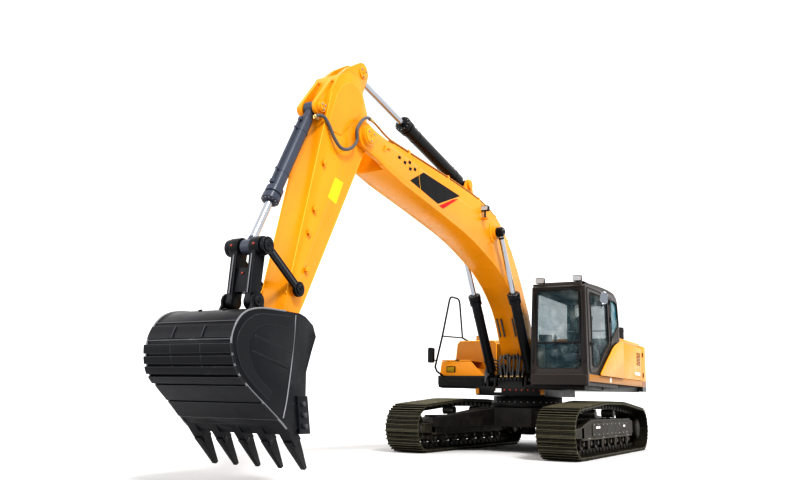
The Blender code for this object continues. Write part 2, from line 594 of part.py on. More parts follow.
# --- boom, arm, bucket -----------------------------------------------------------------------------
def boom():
    """Curved box-section boom, with a fork round the arm, cylinder lugs and pin bosses."""
    top = curve_through([(-5.95, 4.345), (-5.08, 4.325), (-4.07, 4.29), (-3.1, 4.235), (-2.52, 4.15),
                         (-2.02, 3.985), (-1.62, 3.72), (-1.26, 3.37), (-0.94, 2.98), (-0.58, 2.48),
                         (-0.28, 1.98)], 2)
    foot = arc((FOOT.y, FOOT.z), 0.165, 30, -160, 8)
    low = curve_through([(-0.60, 1.66), (-0.76, 1.92), (-1.03, 2.40), (-1.30, 2.69), (-1.66, 2.945),
                         (-2.06, 3.15), (-2.48, 3.295), (-3.31, 3.52), (-4.41, 3.70), (-5.66, 3.88),
                         (-6.12, 3.98)], 2)
    body = prism(top + foot + low, -BOOM_HALF, BOOM_HALF)
    cheek = [(-5.85, 4.335), (-5.75, 3.90), (-6.21, 4.01)]
    cheek += arc((ELBOW.y, ELBOW.z), 0.185, 240, 60, 10) + [(-6.30, 4.375), (-6.05, 4.35)]
    solids = [body]
    for sx in (-1, 1):
        solids.append(prism(cheek, *sorted((sx * (ARM_HALF + 0.012), sx * BOOM_HALF))))
        solids.append(across(ELBOW, *sorted((sx * (ARM_HALF + 0.012), sx * (BOOM_HALF + 0.05))), 0.13, 24))
        solids.append(across(BOOM_CYL_EYE, *sorted((sx * 0.2, sx * (BOOM_CYL - 0.057))), 0.12, 24))
        base = ARM_CYL_BASE
        lug = [(base.y - 0.30, 4.20), (base.y + 0.34, 4.12)] + arc((base.y, base.z), 0.095, 40, 150, 6)
        solids.append(prism(lug, *sorted((sx * 0.085, sx * 0.125))))
    throat = prism([(-7.0, 3.4), (-6.0, 3.4), (-6.0, 5.0), (-7.0, 5.0)], -ARM_HALF - 0.012, ARM_HALF + 0.012)
    return finish("boom", YELLOW, solids, [throat], pivot=FOOT)


def arm():
    """Tapering box-section arm with lugs for the arm cylinder on top and the bucket cylinder in front."""
    line = [(-6.44, 4.60), (-6.46, 4.12), (-6.66, 3.76), (-7.74, 1.83)]
    line += arc((WRIST.y, WRIST.z), 0.125, -10, -190, 8)
    line += [(-8.04, 1.86), (-7.905, 2.31), (-7.44, 4.02), (-7.27, 4.64), (-7.12, 4.90), (-6.90, 5.02),
             (-6.66, 5.02)]
    solids = [prism(line, -ARM_HALF, ARM_HALF)]
    solids.append(across(ELBOW, -ARM_HALF - 0.006, ARM_HALF + 0.006, 0.19, 28))
    ear = [(-6.52, 4.80)] + arc((ARM_CYL_EYE.y, ARM_CYL_EYE.z), 0.135, -20, 120, 7)
    ear += [(-6.88, 5.09), (-7.20, 4.80), (-7.0, 4.72)]
    nose = [(-7.24, 4.70), (-7.20, 4.84), (-7.42, 4.56)]
    nose += arc((CURL_CYL_BASE.y, CURL_CYL_BASE.z), 0.10, 140, 290, 7)
    nose += [(-7.36, 4.18)]
    for sx in (-1, 1):
        solids.append(prism(ear, *sorted((sx * 0.075, sx * 0.13))))
        solids.append(prism(nose, *sorted((sx * 0.075, sx * 0.125))))
        solids.append(across(GUIDE_PIN, *sorted((sx * 0.1, sx * 0.205)), 0.07, 20))
        solids.append(across(CURL_CYL_BASE, *sorted((sx * 0.10, sx * 0.17)), 0.07, 20))
    return finish("arm", YELLOW, solids, pivot=ELBOW)


def cylinder(name, base, eye, barrel, gland, shaft, share, inner, x=0.0, half=0.05, material=BLACK):
    """Hydraulic cylinder: barrel with a gland at its mouth and an eye at its foot, and rod with its eye.

    share is how much of the length between the pins the barrel takes, inner is how far the rod's piston end
    stands from the base pin, and half is half the width of both eyes.
    """
    base, eye = base.copy(), eye.copy()
    base.x = eye.x = x
    along = (eye - base).normalized()
    length = (eye - base).length
    mouth = base + along * length * share
    neck = 0.9 * half
    foot, closed = base + along * 0.18, base + along * 0.21
    solids = [rod(foot, mouth, barrel, 20), rod(mouth - along * 0.19, mouth, gland, 20),
              rod(base + along * 0.03, base + along * 0.20, neck, 16),
              across(base, x - half, x + half, EYE_R, 20)]
    bore = rod(closed, mouth + along * 0.01, shaft + 0.002, 20)
    finish(name + "_barrel", material, solids, [bore], pivot=base)
    solids = [rod(base + along * inner, eye, shaft, 20), across(eye, x - half, x + half, EYE_R, 20)]
    finish(name + "_rod", CHROME, solids, pivot=base)


def guide_link(side, name):
    """Flat link from the arm to the bucket cylinder's pin."""
    x = sorted((side * 0.218, side * 0.262))
    along = (CURL_CYL_EYE - GUIDE_PIN).normalized()
    up = Vector((0, -along.z, along.y)) * 0.045
    bar = [GUIDE_PIN + up, GUIDE_PIN - up, CURL_CYL_EYE - up, CURL_CYL_EYE + up]
    solids = [prism([(p.y, p.z) for p in bar], x[0] + 0.005, x[1] - 0.005),
              across(GUIDE_PIN, *x, 0.085, 24), across(CURL_CYL_EYE, *x, 0.095, 24)]
    return finish(name, CHARCOAL, solids, pivot=GUIDE_PIN)


def bucket_link():
    """H-shaped link between the cylinder's pin and the bucket: two plates and a cross tube."""
    top, foot = CURL_CYL_EYE, BUCKET_PIN
    along = (foot - top).normalized()
    up = Vector((0, -along.z, along.y))
    solids = []
    for sx in (-1, 1):
        side = [top + up * 0.085, top - up * 0.085, foot - up * 0.075, foot + up * 0.075]
        solids.append(prism([(p.y, p.z) for p in side], *sorted((sx * 0.085, sx * 0.16))))
        solids.append(across(top, *sorted((sx * 0.08, sx * 0.206)), 0.105, 24))
        solids.append(across(foot, *sorted((sx * 0.08, sx * 0.180)), 0.08, 24))
    low, high = top + along * 0.24, top + along * 0.50
    web = [low + up * 0.05, low - up * 0.05, high - up * 0.05, high + up * 0.05]
    solids.append(prism([(p.y, p.z) for p in web], -0.10, 0.10))
    return finish("bucket_link", CHARCOAL, solids, pivot=BUCKET_PIN)


def bucket_wrapper():
    """Side view of the bucket's rolled plate, from the mouth's upper edge round the back to the lip."""
    return curve_through([(-8.20, 1.765), (-8.50, 1.765), (-8.84, 1.755), (-9.06, 1.70), (-9.195, 1.58),
                          (NOSE, 1.40), (-9.205, 1.16), (-9.05, 1.00), (-8.80, 0.82), (-8.56, 0.64)], 3)


def widen(obj):
    """Flares the bucket from its back to its lip."""
    for v in obj.data.vertices:
        share = min(max((1.75 - v.co.z) / (1.75 - 0.65), 0.0), 1.0)
        grow = BUCKET_BACK - 0.015 + (BUCKET_LIP - BUCKET_BACK + 0.015) * share ** 2
        if abs(v.co.x) > 0.4:
            v.co.x = v.co.x * grow / BUCKET_BACK
    return obj


def bucket():
    """Bucket: rolled plate, flared side plates, lip with five teeth, side cutters and two ears."""
    outer = bucket_wrapper()
    outer = outer + [(-8.424, 0.538)]
    lip_in = (-8.385, 0.575)
    mouth = [(-8.14, 0.92), (-8.10, 1.16), (-7.98, 1.40), (-7.905, 1.545), (-7.96, 1.66), (-8.10, 1.74)]
    profile = outer + [lip_in, (-8.30, 0.60), (-8.16, 0.60)] + mouth
    middle = Vector((-8.55, 1.22))

    def shrink(points, amount):
        """Points moved towards the middle of the bucket."""
        moved = []
        for a, b in points:
            d = middle - Vector((a, b))
            moved.append((a + d.x / d.length * amount, b + d.y / d.length * amount))
        return moved

    body = prism(profile, -BUCKET_BACK, BUCKET_BACK)
    hollow = shrink(outer[1:-2], PLATE + 0.012)
    hollow = [(-7.6, 1.735)] + hollow + [(-8.51, 0.70), (-8.37, 0.585), (-7.6, 0.2)]
    core = prism(hollow, -BUCKET_BACK + PLATE, BUCKET_BACK - PLATE)
    solids = [body]
    for sx in (-1, 1):
        ear = arc((WRIST.y, WRIST.z), 0.14, -60, 95, 8) + [(-8.14, 1.80), (-8.37, 1.80)]
        ear += arc((BUCKET_PIN.y, BUCKET_PIN.z), 0.10, -20, 200, 8)
        ear += [(-8.66, 1.73), (-8.20, 1.72), (-8.12, 1.60)]
        solids.append(prism(ear, *sorted((sx * 0.186, sx * 0.211))))
    teeth = []
    spread = BUCKET_BACK - 0.055
    for x in (-spread, -0.297, 0.0, 0.297, spread):
        half = 0.052
        shank = ((-8.60, 0.69), (-8.50, 0.745), (-8.34, 0.42), (-8.26, 0.50))
        teeth.append(hull([(x + s * half, y, z) for s in (-1, 1) for y, z in shank]))
        point = [(x + s * half * 0.8, y, z) for s in (-1, 1) for y, z in ((-8.40, 0.46), (-8.28, 0.54))]
        tip = [(x + s * 0.022, y, z) for s in (-1, 1) for y, z in ((-8.115, 0.185), (-8.085, 0.205))]
        teeth.append(hull(point + tip))
    edges = [sorted((sx * (BUCKET_BACK - PLATE), sx * (BUCKET_BACK + 0.02))) for sx in (-1, 1)]
    cutters = [box(x, (-8.315, -8.14), (0.545, 0.92)) for x in edges]
    gap_at_wrist = [(-8.19, 1.50), (-7.6, 1.50), (-7.6, 2.0), (-8.19, 2.0)]
    opening = prism(gap_at_wrist, -BUCKET_BACK + PLATE, BUCKET_BACK - PLATE)
    boolean(body, "DIFFERENCE", [core, opening])
    return finish("bucket", CHARCOAL, solids + teeth + cutters, pivot=WRIST, shape=widen)


def build():
    """Makes every sub-part of the machine."""
    for side, word in ((1, "left"), (-1, "right")):
        track(side, f"track_{word}")
        track_frame(side, f"track_frame_{word}")
        sprocket(side, f"sprocket_{word}")
        sill(side, f"{word}_sill")
        guide_link(side, f"guide_link_{word}")
        cylinder(f"boom_cylinder_{word}", BOOM_CYL_BASE, BOOM_CYL_EYE, 0.088, 0.112, 0.045, 0.60, 0.77,
                 x=side * BOOM_CYL)
    carbody()
    slewing_ring()
    upper_frame()
    counterweight()
    hood_and_doors()
    fuel_tank()
    toolbox()
    handrail()
    cab()
    cab_inside()
    air_cleaner()
    exhaust()
    boom()
    arm()
    cylinder("arm_cylinder", ARM_CYL_BASE, ARM_CYL_EYE, 0.102, 0.122, 0.047, 0.615, 1.0, half=0.065)
    cylinder("bucket_cylinder", CURL_CYL_BASE, CURL_CYL_EYE, 0.081, 0.105, 0.045, 0.70, 0.55, half=0.065,
             material=SLATE)
    bucket_link()
    bucket()


build()
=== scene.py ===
# %% [markdown]
# # Dressing a crawler excavator
# The frame that this lesson starts from is a working model: every plate, pin and cylinder has its true
# place and size, but bare flat faces.  Here the machine gets what the eye reads as real: rounded plate
# edges, weld beads, hoses, shoes with grousers, glass, cloth, paint with dust on it.  Nothing that the
# frame holds is moved.

# %% Load the frame
import json
import math

import bmesh
import bpy
import numpy as np
from mathutils import Matrix, Vector

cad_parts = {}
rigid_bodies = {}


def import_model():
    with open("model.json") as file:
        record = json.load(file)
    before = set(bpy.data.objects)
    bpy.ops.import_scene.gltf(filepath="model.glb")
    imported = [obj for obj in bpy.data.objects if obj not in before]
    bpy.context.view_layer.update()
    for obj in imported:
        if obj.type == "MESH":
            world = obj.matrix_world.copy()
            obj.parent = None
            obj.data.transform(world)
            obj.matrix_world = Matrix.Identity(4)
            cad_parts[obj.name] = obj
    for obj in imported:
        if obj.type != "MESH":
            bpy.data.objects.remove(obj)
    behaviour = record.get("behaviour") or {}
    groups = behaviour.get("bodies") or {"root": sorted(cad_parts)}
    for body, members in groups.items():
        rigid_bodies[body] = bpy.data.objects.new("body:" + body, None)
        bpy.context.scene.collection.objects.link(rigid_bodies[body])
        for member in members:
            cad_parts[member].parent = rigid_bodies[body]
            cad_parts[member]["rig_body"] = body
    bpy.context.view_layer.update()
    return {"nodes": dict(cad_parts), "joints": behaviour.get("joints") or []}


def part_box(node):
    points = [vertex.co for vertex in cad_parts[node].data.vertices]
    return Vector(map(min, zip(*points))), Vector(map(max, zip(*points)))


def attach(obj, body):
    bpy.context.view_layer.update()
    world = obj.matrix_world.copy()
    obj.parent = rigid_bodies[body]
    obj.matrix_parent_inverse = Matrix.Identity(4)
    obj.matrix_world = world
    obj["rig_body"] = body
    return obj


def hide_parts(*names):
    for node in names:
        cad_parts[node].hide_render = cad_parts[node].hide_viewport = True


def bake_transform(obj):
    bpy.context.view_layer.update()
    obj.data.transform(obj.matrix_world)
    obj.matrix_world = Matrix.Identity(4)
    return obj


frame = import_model()
joints = {j["name"]: j for j in frame["joints"]}

# %% [markdown]
# ## Where things are
# Most of the machine turns about the swing axis, so places are given from that axis on the ground: x to the
# cab side, y to the back, z up.  The swing axis and the pins come straight from the joints.

# %% Places
swing = np.array(joints["swing"]["pos_m"]) * (1, 1, 0)


def spot(x, y, z):
    """Point given from the swing axis on the ground."""
    return np.array((x, y, z), float) + swing


def spots(*places):
    """Several points given from the swing axis on the ground."""
    return np.array(places, float) + swing


def yz(outline):
    """Side outline of (y, z) pairs given from the swing axis."""
    return [(y + swing[1], z) for y, z in outline]


def pin(joint):
    """Middle of a joint's pin."""
    return np.array(joints[joint]["pos_m"], float)


def low(node):
    """Lowest corner of a node's box."""
    return np.array(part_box(node)[0])


def high(node):
    """Highest corner of a node's box."""
    return np.array(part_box(node)[1])


elbow, wrist = pin("arm_crowd"), pin("bucket_curl")
print("elbow", elbow.round(3), "wrist", wrist.round(3))

# %% [markdown]
# ## Camera, floor and light
# The machine was seen from a low standpoint near its front left corner, looking slightly up, so the bucket
# looms large and the house is small.  A wide, soft sun from that side and a bright pale surround give the
# even light of a product picture; the surround also whitens the floor, so nothing competes with the
# machine.

# %% Camera
camera_place = spot(5.548, -15.021, 0.9034)
turn, tilt, roll = 0.5126, 0.1961, 0.0211
ahead = np.array((-math.sin(turn) * math.cos(tilt), math.cos(turn) * math.cos(tilt), math.sin(tilt)))
level = np.array((math.cos(turn), math.sin(turn), 0.0))
above = np.cross(level, ahead)
right = level * math.cos(roll) + above * math.sin(roll)
up = above * math.cos(roll) - level * math.sin(roll)
camera = bpy.data.objects.new("camera", bpy.data.cameras.new("camera"))
bpy.context.scene.collection.objects.link(camera)
camera.matrix_world = Matrix([(*row, camera_place[i]) for i, row in enumerate(np.c_[right, up, -ahead])] +
                             [(0, 0, 0, 1)])
camera.data.sensor_width = 36.0
camera.data.lens = 36.16
bpy.context.scene.camera = camera
print("camera at", camera_place.round(2))

# %% Floor and light
floor_mesh = bpy.data.meshes.new("studio_floor")
reach = 120.0
floor_mesh.from_pydata([(-reach, -reach, 0), (reach, -reach, 0), (reach, reach, 0), (-reach, reach, 0)], [],
                       [(0, 1, 2, 3)])
floor = bpy.data.objects.new("studio_floor", floor_mesh)
bpy.context.scene.collection.objects.link(floor)
floor.location.z = -0.002
paper = bpy.data.materials.new("pale_floor")
paper.use_nodes = True
paper.node_tree.nodes["Principled BSDF"].inputs["Base Color"].default_value = (0.62, 0.62, 0.62, 1.0)
paper.node_tree.nodes["Principled BSDF"].inputs["Roughness"].default_value = 1.0
paper.node_tree.nodes["Principled BSDF"].inputs["Specular IOR Level"].default_value = 0.0
floor_mesh.materials.append(paper)
world = bpy.data.worlds.new("studio")
world.use_nodes = True
world.node_tree.nodes["Background"].inputs["Color"].default_value = (1.0, 1.0, 1.0, 1.0)
world.node_tree.nodes["Background"].inputs["Strength"].default_value = 1.0
bpy.context.scene.world = world
bpy.context.scene.view_settings.view_transform = "Standard"
bpy.context.scene.view_settings.look = "High Contrast"


def sun(name, toward, strength, spread):
    """Distant white light that shines from a direction; spread is its apparent size in degrees."""
    lamp = bpy.data.lights.new(name, "SUN")
    lamp.energy, lamp.angle = strength, math.radians(spread)
    obj = bpy.data.objects.new(name, lamp)
    bpy.context.scene.collection.objects.link(obj)
    obj.rotation_mode = "QUATERNION"
    obj.rotation_quaternion = Vector(toward).to_track_quat("Z", "Y")
    return obj


sun("key", (0.62, -0.45, 0.85), 2.2, 14.0)
sun("fill", (-0.7, -0.8, 0.35), 0.5, 40.0)
print("world and two suns")

# %% [markdown]
# ## Shape helpers
# Every new piece is a surface worked out as whole arrays.  Four forms carry the machine: a profile turned
# about an axis, a round profile carried along a path, a flat outline given thickness, and a small template
# repeated at many places.  A shape here is a pair: an array of points and a list of faces.


# %% Shapes as arrays
def join(*shapes):
    """One shape from several; each one's faces are shifted past the points before it."""
    points, faces, seen = [], [], 0
    for p, f in shapes:
        points.append(p)
        faces += [tuple(i + seen for i in face) for face in f]
        seen += len(p)
    return np.concatenate(points), faces


def quads(rows, columns, wrap=False):
    """Faces of a grid whose points run column by column along each row; wrap closes each row on itself."""
    across = columns if wrap else columns - 1
    a = (np.arange(rows - 1)[:, None] * columns + np.arange(across)[None, :]).ravel()
    b = (np.arange(rows - 1)[:, None] * columns + (np.arange(across)[None, :] + 1) % columns).ravel()
    return np.stack([a, b, b + columns, a + columns], 1).tolist()


def basis(axis):
    """Two unit vectors square to an axis and to each other."""
    axis = np.asarray(axis, float) / np.linalg.norm(axis)
    helper = np.array((0.0, 0.0, 1.0)) if abs(axis[2]) < 0.9 else np.array((0.0, 1.0, 0.0))
    u = np.cross(helper, axis)
    u /= np.linalg.norm(u)
    return u, np.cross(axis, u), axis


def turned(centre, axis, profile, sides=32):
    """Profile of (distance along the axis, radius) turned about it: p = c + a*s + r*(u cos t + v sin t)."""
    u, v, axis = basis(axis)
    s, r = np.array(profile, float).T
    t = np.linspace(0, 2 * np.pi, sides, endpoint=False)
    ring = np.cos(t)[:, None] * u + np.sin(t)[:, None] * v
    points = centre + s[:, None, None] * axis + r[:, None, None] * ring[None]
    faces = [tuple(f) for f in quads(len(s), sides, wrap=True)]
    ends = [tuple(range(sides))[::-1], tuple(range((len(s) - 1) * sides, len(s) * sides))]
    return points.reshape(-1, 3), faces + ends


def hoop(centre, axis, profile, sides=32):
    """Closed profile turned about an axis: a ring that leaves its bore open."""
    points, n = turned(centre, axis, profile, sides)[0], len(profile) * sides
    return points, [tuple(i % n for i in f) for f in quads(len(profile) + 1, sides, wrap=True)]


def bar(start, end, radius, sides=20, edge=0.003):
    """Round bar between two points, its two rims rounded off by edge."""
    start, end = np.asarray(start, float), np.asarray(end, float)
    length = np.linalg.norm(end - start)
    profile = [(0, radius - edge), (edge, radius), (length - edge, radius), (length, radius - edge)]
    return turned(start, end - start, profile, sides)


def smooth(points, steps=8):
    """Smooth path through points: a cubic between each two whose slopes are half the step across them."""
    p = np.asarray(points, float)
    ends = np.concatenate([2 * p[:1] - p[1:2], p, 2 * p[-1:] - p[-2:-1]])
    t = np.linspace(0, 1, steps, endpoint=False)[None, :, None]
    a, b, c, d = (ends[i:len(ends) - 3 + i, None, :] for i in range(4))
    line = 0.5 * (2 * b + (c - a) * t + (2 * a - 5 * b + 4 * c - d) * t ** 2 + (3 * b - a - 3 * c + d)
                  * t ** 3)
    return np.concatenate([line.reshape(-1, p.shape[1]), p[-1:]])


def tube(path, radius, sides=10):
    """Circle carried along a path, its plane square to the path and kept from twisting by one fixed side."""
    path = np.asarray(path, float)
    along = np.gradient(path, axis=0)
    along /= np.linalg.norm(along, axis=1)[:, None]
    spread = np.linalg.svd(along, full_matrices=True)[2]
    u = np.cross(along, spread[-1])
    u /= np.linalg.norm(u, axis=1)[:, None]
    v = np.cross(along, u)
    t = np.linspace(0, 2 * np.pi, sides, endpoint=False)
    r = np.broadcast_to(radius, len(path))[:, None, None]
    points = path[:, None] + r * (np.cos(t)[None, :, None] * u[:, None] + np.sin(t)[None, :, None]
                                  * v[:, None])
    faces = [tuple(f) for f in quads(len(path), sides, wrap=True)]
    ends = [tuple(range(sides))[::-1], tuple(range((len(path) - 1) * sides, len(path) * sides))]
    return points.reshape(-1, 3), faces + ends


def slab(outline, start, end, axis="x"):
    """Closed outline of two coordinates, given thickness along the third axis from start to end."""
    a, b = np.array(outline, float).T
    order = {"x": lambda c: (c, a, b), "y": lambda c: (a, c, b), "z": lambda c: (a, b, c)}[axis]
    caps = [np.stack(order(np.full(len(a), float(c))), 1) for c in (start, end)]
    n = len(a)
    sides = [(i, (i + 1) % n, n + (i + 1) % n, n + i) for i in range(n)]
    return np.concatenate(caps), [tuple(range(n))[::-1], tuple(range(n, 2 * n)), *sides]


def block(corner, opposite):
    """Box between two corners."""
    (x0, y0, z0), (x1, y1, z1) = np.minimum(corner, opposite), np.maximum(corner, opposite)
    return slab([(x0, y0), (x1, y0), (x1, y1), (x0, y1)], z0, z1, "z")


def crate(corner, opposite):
    """Box between two corners given from the swing axis."""
    return block(spot(*corner), spot(*opposite))


def repeat(shape, places):
    """A template repeated at places; each place is (origin, x axis, y axis, z axis) of the copy."""
    points, faces = shape
    o, x, y, z = (np.array([p[i] for p in places], float) for i in range(4))
    moved = (o[:, None] + points[None, :, :1] * x[:, None] + points[None, :, 1:2] * y[:, None]
             + points[None, :, 2:] * z[:, None])
    shifts = np.arange(len(o)) * len(points)
    return moved.reshape(-1, 3), [tuple(i + s for i in f) for s in shifts for f in faces]


def mirrored(shape):
    """The same shape on the other side of the machine's middle plane."""
    points, faces = shape
    return points * (-1, 1, 1), [f[::-1] for f in faces]


def both(shape):
    """A shape and its mirror image."""
    return join(shape, mirrored(shape))


def bolt_heads(places, axis, size=0.011, height=0.008):
    """Hexagon heads on washers, standing on places along an axis."""
    u, v, w = basis(axis)
    washer = turned((0, 0, 0), (0, 0, 1), [(0, size * 1.35), (0.002, size * 1.35)], 10)
    head = turned((0, 0, 0), (0, 0, 1), [(0.002, size), (height, size), (height + 0.002, size * 0.85)], 6)
    return repeat(join(washer, head), [(p, u, v, w) for p in places])


def ring_places(centre, axis, radius, count, phase=0.0):
    """Places evenly round a circle."""
    u, v, _ = basis(axis)
    t = np.arange(count) * 2 * np.pi / count + phase
    return centre + radius * (np.cos(t)[:, None] * u + np.sin(t)[:, None] * v)


def rounded(a, b, radius, steps=5):
    """Rectangle between (low, high) pairs with round corners, as an outline."""
    t = np.radians(np.linspace(0, 90, steps))
    corners = [(a[1] - radius, b[0] + radius, -90), (a[1] - radius, b[1] - radius, 0),
               (a[0] + radius, b[1] - radius, 90), (a[0] + radius, b[0] + radius, 180)]
    return [(ca + radius * math.cos(k + math.radians(s)), cb + radius * math.sin(k + math.radians(s)))
            for ca, cb, s in corners for k in t]


print("helpers ready")

# %% [markdown]
# ## Pieces
# A finished piece is one mesh that stands at the origin with its place in its points, rides on a body of the
# frame, and takes the finish that it is given.  Doubles are merged and faces turned outwards before a live
# Bevel
# rounds the edges: a rounded edge catches a line of light, and that line is what makes sheet metal look real.


# %% Making a piece
def settle(bm):
    """Merges points that coincide and turns all faces outwards."""
    bmesh.ops.remove_doubles(bm, verts=bm.verts, dist=0.00002)
    bmesh.ops.recalc_face_normals(bm, faces=bm.faces)


SHARP = math.radians(35.0)


def piece(name, shape, body, finish, edge=0.0, segments=2, replaces=(), wear_and_highlight=None):
    """Mesh object from a shape: painted, rounded at its edges, riding on its body.

    edge is the bevel's width, and wear_and_highlight a second, lighter paint for the bevel's own faces:
    a painted highlight along the edges, and wear where that paint has scratches.
    """
    mesh = bpy.data.meshes.new(name)
    points, faces = shape
    mesh.from_pydata(np.asarray(points, float).tolist(), [], faces)
    bm = bmesh.new()
    bm.from_mesh(mesh)
    settle(bm)
    bm.to_mesh(mesh)
    bm.free()
    obj = bpy.data.objects.new(name, mesh)
    bpy.context.scene.collection.objects.link(obj)
    return dress(obj, body, finish, edge, segments, replaces=replaces, wear_and_highlight=wear_and_highlight)


def dress(obj, body, finish, edge=0.0, segments=2, replaces=(), wear_and_highlight=None):
    """Gives an object its materials, rounded edges and body."""
    obj.data.materials.clear()
    obj.data.materials.append(finish)
    obj.data.shade_smooth()
    if edge:
        rounding = obj.modifiers.new("rounded edges", "BEVEL")
        rounding.width = edge
        rounding.segments = segments
        rounding.limit_method = "ANGLE"
        rounding.angle_limit = SHARP
        rounding.use_clamp_overlap = True
        rounding.harden_normals = True
        # The bevel's faces take the second paint, lighter than the first: a painted highlight along each
        # edge, with wear where that paint has scratches.
        if wear_and_highlight:
            obj.data.materials.append(wear_and_highlight)
            rounding.material = 1
    else:
        obj.data.set_sharp_from_angle(angle=SHARP)
    if body:
        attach(obj, body)
    if replaces:
        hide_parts(*replaces)
    return obj


def plated(node, name, finish, edge, wear_and_highlight):
    """Copy of a CAD node with its triangles merged into whole plates and its edges rounded."""
    source = frame["nodes"][node]
    mesh = source.data.copy()
    mesh.name = name
    bm = bmesh.new()
    bm.from_mesh(mesh)
    bmesh.ops.remove_doubles(bm, verts=bm.verts, dist=0.00002)
    bmesh.ops.dissolve_limit(bm, angle_limit=math.radians(0.4), verts=bm.verts, edges=bm.edges)
    bm.to_mesh(mesh)
    bm.free()
    obj = bpy.data.objects.new(name, mesh)
    bpy.context.scene.collection.objects.link(obj)
    return dress(obj, source["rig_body"], finish, edge, replaces=(node,), wear_and_highlight=wear_and_highlight)


print("piece makers ready")

# %% [markdown]
# ## Finishes
# Paint on a machine like this is glossy and nearly even, but never quite: it has a fine orange-peel ripple,
# dust lies on faces that look up, dirt gathers low down, and the colour drifts a little from plate to
# plate. One node group works out all of that from the object's own coordinates, so each paint only states
# its colours and how dirty it is.  A second group scatters scratches, which the digging parts need.


# %% Node helpers
def tree_of(name, inputs, outputs):
    """New shader node group with named sockets; returns the tree, its input node and its output node."""
    tree = bpy.data.node_groups.new(name, "ShaderNodeTree")
    for label, kind, value in inputs:
        socket = tree.interface.new_socket(label, in_out="INPUT", socket_type=kind)
        socket.default_value = value
    for label, kind in outputs:
        tree.interface.new_socket(label, in_out="OUTPUT", socket_type=kind)
    return tree, tree.nodes.new("NodeGroupInput"), tree.nodes.new("NodeGroupOutput")


def put(tree, kind, links=(), **settings):
    """Adds a node, sets its properties, and feeds its sockets from (socket, source or value) pairs."""
    made = tree.nodes.new(kind)
    for key, value in settings.items():
        setattr(made, key, value)
    for socket, source in links:
        if isinstance(source, bpy.types.NodeSocket):
            tree.links.new(source, made.inputs[socket])
        else:
            made.inputs[socket].default_value = source
    return made


def ramp(tree, value, lower, upper):
    """Maps a value so that lower gives 0 and upper gives 1, clamped, with a soft start and end."""
    return put(tree, "ShaderNodeMapRange", [(0, value), (1, lower), (2, upper), (3, 0.0), (4, 1.0)],
               interpolation_type="SMOOTHSTEP").outputs[0]


def times(tree, a, b, operation="MULTIPLY"):
    """Two values put together by one operation."""
    return put(tree, "ShaderNodeMath", [(0, a), (1, b)], operation=operation, use_clamp=True).outputs[0]


def blend(tree, share, a, b):
    """Colour a where share is 0 and b where it is 1."""
    return put(tree, "ShaderNodeMix", [(0, share), (6, a), (7, b)], data_type="RGBA").outputs[2]


# %% The shared effects
def make_weathering():
    """Dust on upward faces, dirt low down, drift in the colour, and a fine ripple."""
    tree, given, out = tree_of(
        "weathering",
        [("Paint", "NodeSocketColor", (0.8, 0.8, 0.8, 1)), ("Dust", "NodeSocketColor", (0.35, 0.29, 0.2, 1)),
         ("Dust Amount", "NodeSocketFloat", 0.3), ("Dirt Height", "NodeSocketFloat", 1.2),
         ("Roughness", "NodeSocketFloat", 0.3), ("Ripple Scale", "NodeSocketFloat", 220.0)],
        [("Color", "NodeSocketColor"), ("Roughness", "NodeSocketFloat"), ("Height", "NodeSocketFloat")])
    place = put(tree, "ShaderNodeTexCoord").outputs["Object"]
    geometry = put(tree, "ShaderNodeNewGeometry")
    normal = put(tree, "ShaderNodeSeparateXYZ", [(0, geometry.outputs["Normal"])])
    where = put(tree, "ShaderNodeSeparateXYZ", [(0, place)])
    broad = put(tree, "ShaderNodeTexNoise", [("Vector", place), ("Scale", 1.3), ("Detail", 4.0)]).outputs[0]
    patchy = put(tree, "ShaderNodeTexNoise", [("Vector", place), ("Scale", 6.0), ("Detail", 6.0),
                                              ("Roughness", 0.62)]).outputs[0]
    fine = put(tree, "ShaderNodeTexNoise", [("Vector", place), ("Scale", 90.0), ("Detail", 3.0)]).outputs[0]
    ripple = put(tree, "ShaderNodeTexNoise", [("Vector", place), ("Scale", given.outputs["Ripple Scale"]),
                                              ("Detail", 1.0)]).outputs[0]
    facing_up = ramp(tree, normal.outputs[2], 0.2, 0.95)
    lain = times(tree, facing_up, ramp(tree, patchy, 0.30, 0.72))
    near_ground = put(tree, "ShaderNodeMath", [(0, where.outputs[2]), (1, given.outputs["Dirt Height"])],
                      operation="DIVIDE").outputs[0]
    thrown = times(tree, ramp(tree, near_ground, 1.0, 0.15), ramp(tree, patchy, 0.38, 0.66))
    dust = times(tree, times(tree, lain, thrown, "MAXIMUM"), given.outputs["Dust Amount"])
    dust = times(tree, dust, times(tree, ramp(tree, fine, 0.25, 0.6), 0.3, "ADD"))
    drift = put(tree, "ShaderNodeHueSaturation",
                [("Color", given.outputs["Paint"]),
                 ("Value", put(tree, "ShaderNodeMapRange", [(0, broad), (1, 0.3), (2, 0.7), (3, 0.93),
                                                            (4, 1.05)]).outputs[0])]).outputs[0]
    tree.links.new(blend(tree, dust, drift, given.outputs["Dust"]), out.inputs["Color"])
    uneven = put(tree, "ShaderNodeMapRange", [(0, patchy), (1, 0.3), (2, 0.7), (3, -0.04),
                                              (4, 0.07)]).outputs[0]
    rough = put(tree, "ShaderNodeMath", [(0, given.outputs["Roughness"]), (1, uneven)],
                operation="ADD").outputs[0]
    tree.links.new(times(tree, rough, times(tree, dust, 0.5), "ADD"), out.inputs["Roughness"])
    tree.links.new(times(tree, ripple, times(tree, dust, 0.6), "ADD"), out.inputs["Height"])
    return tree


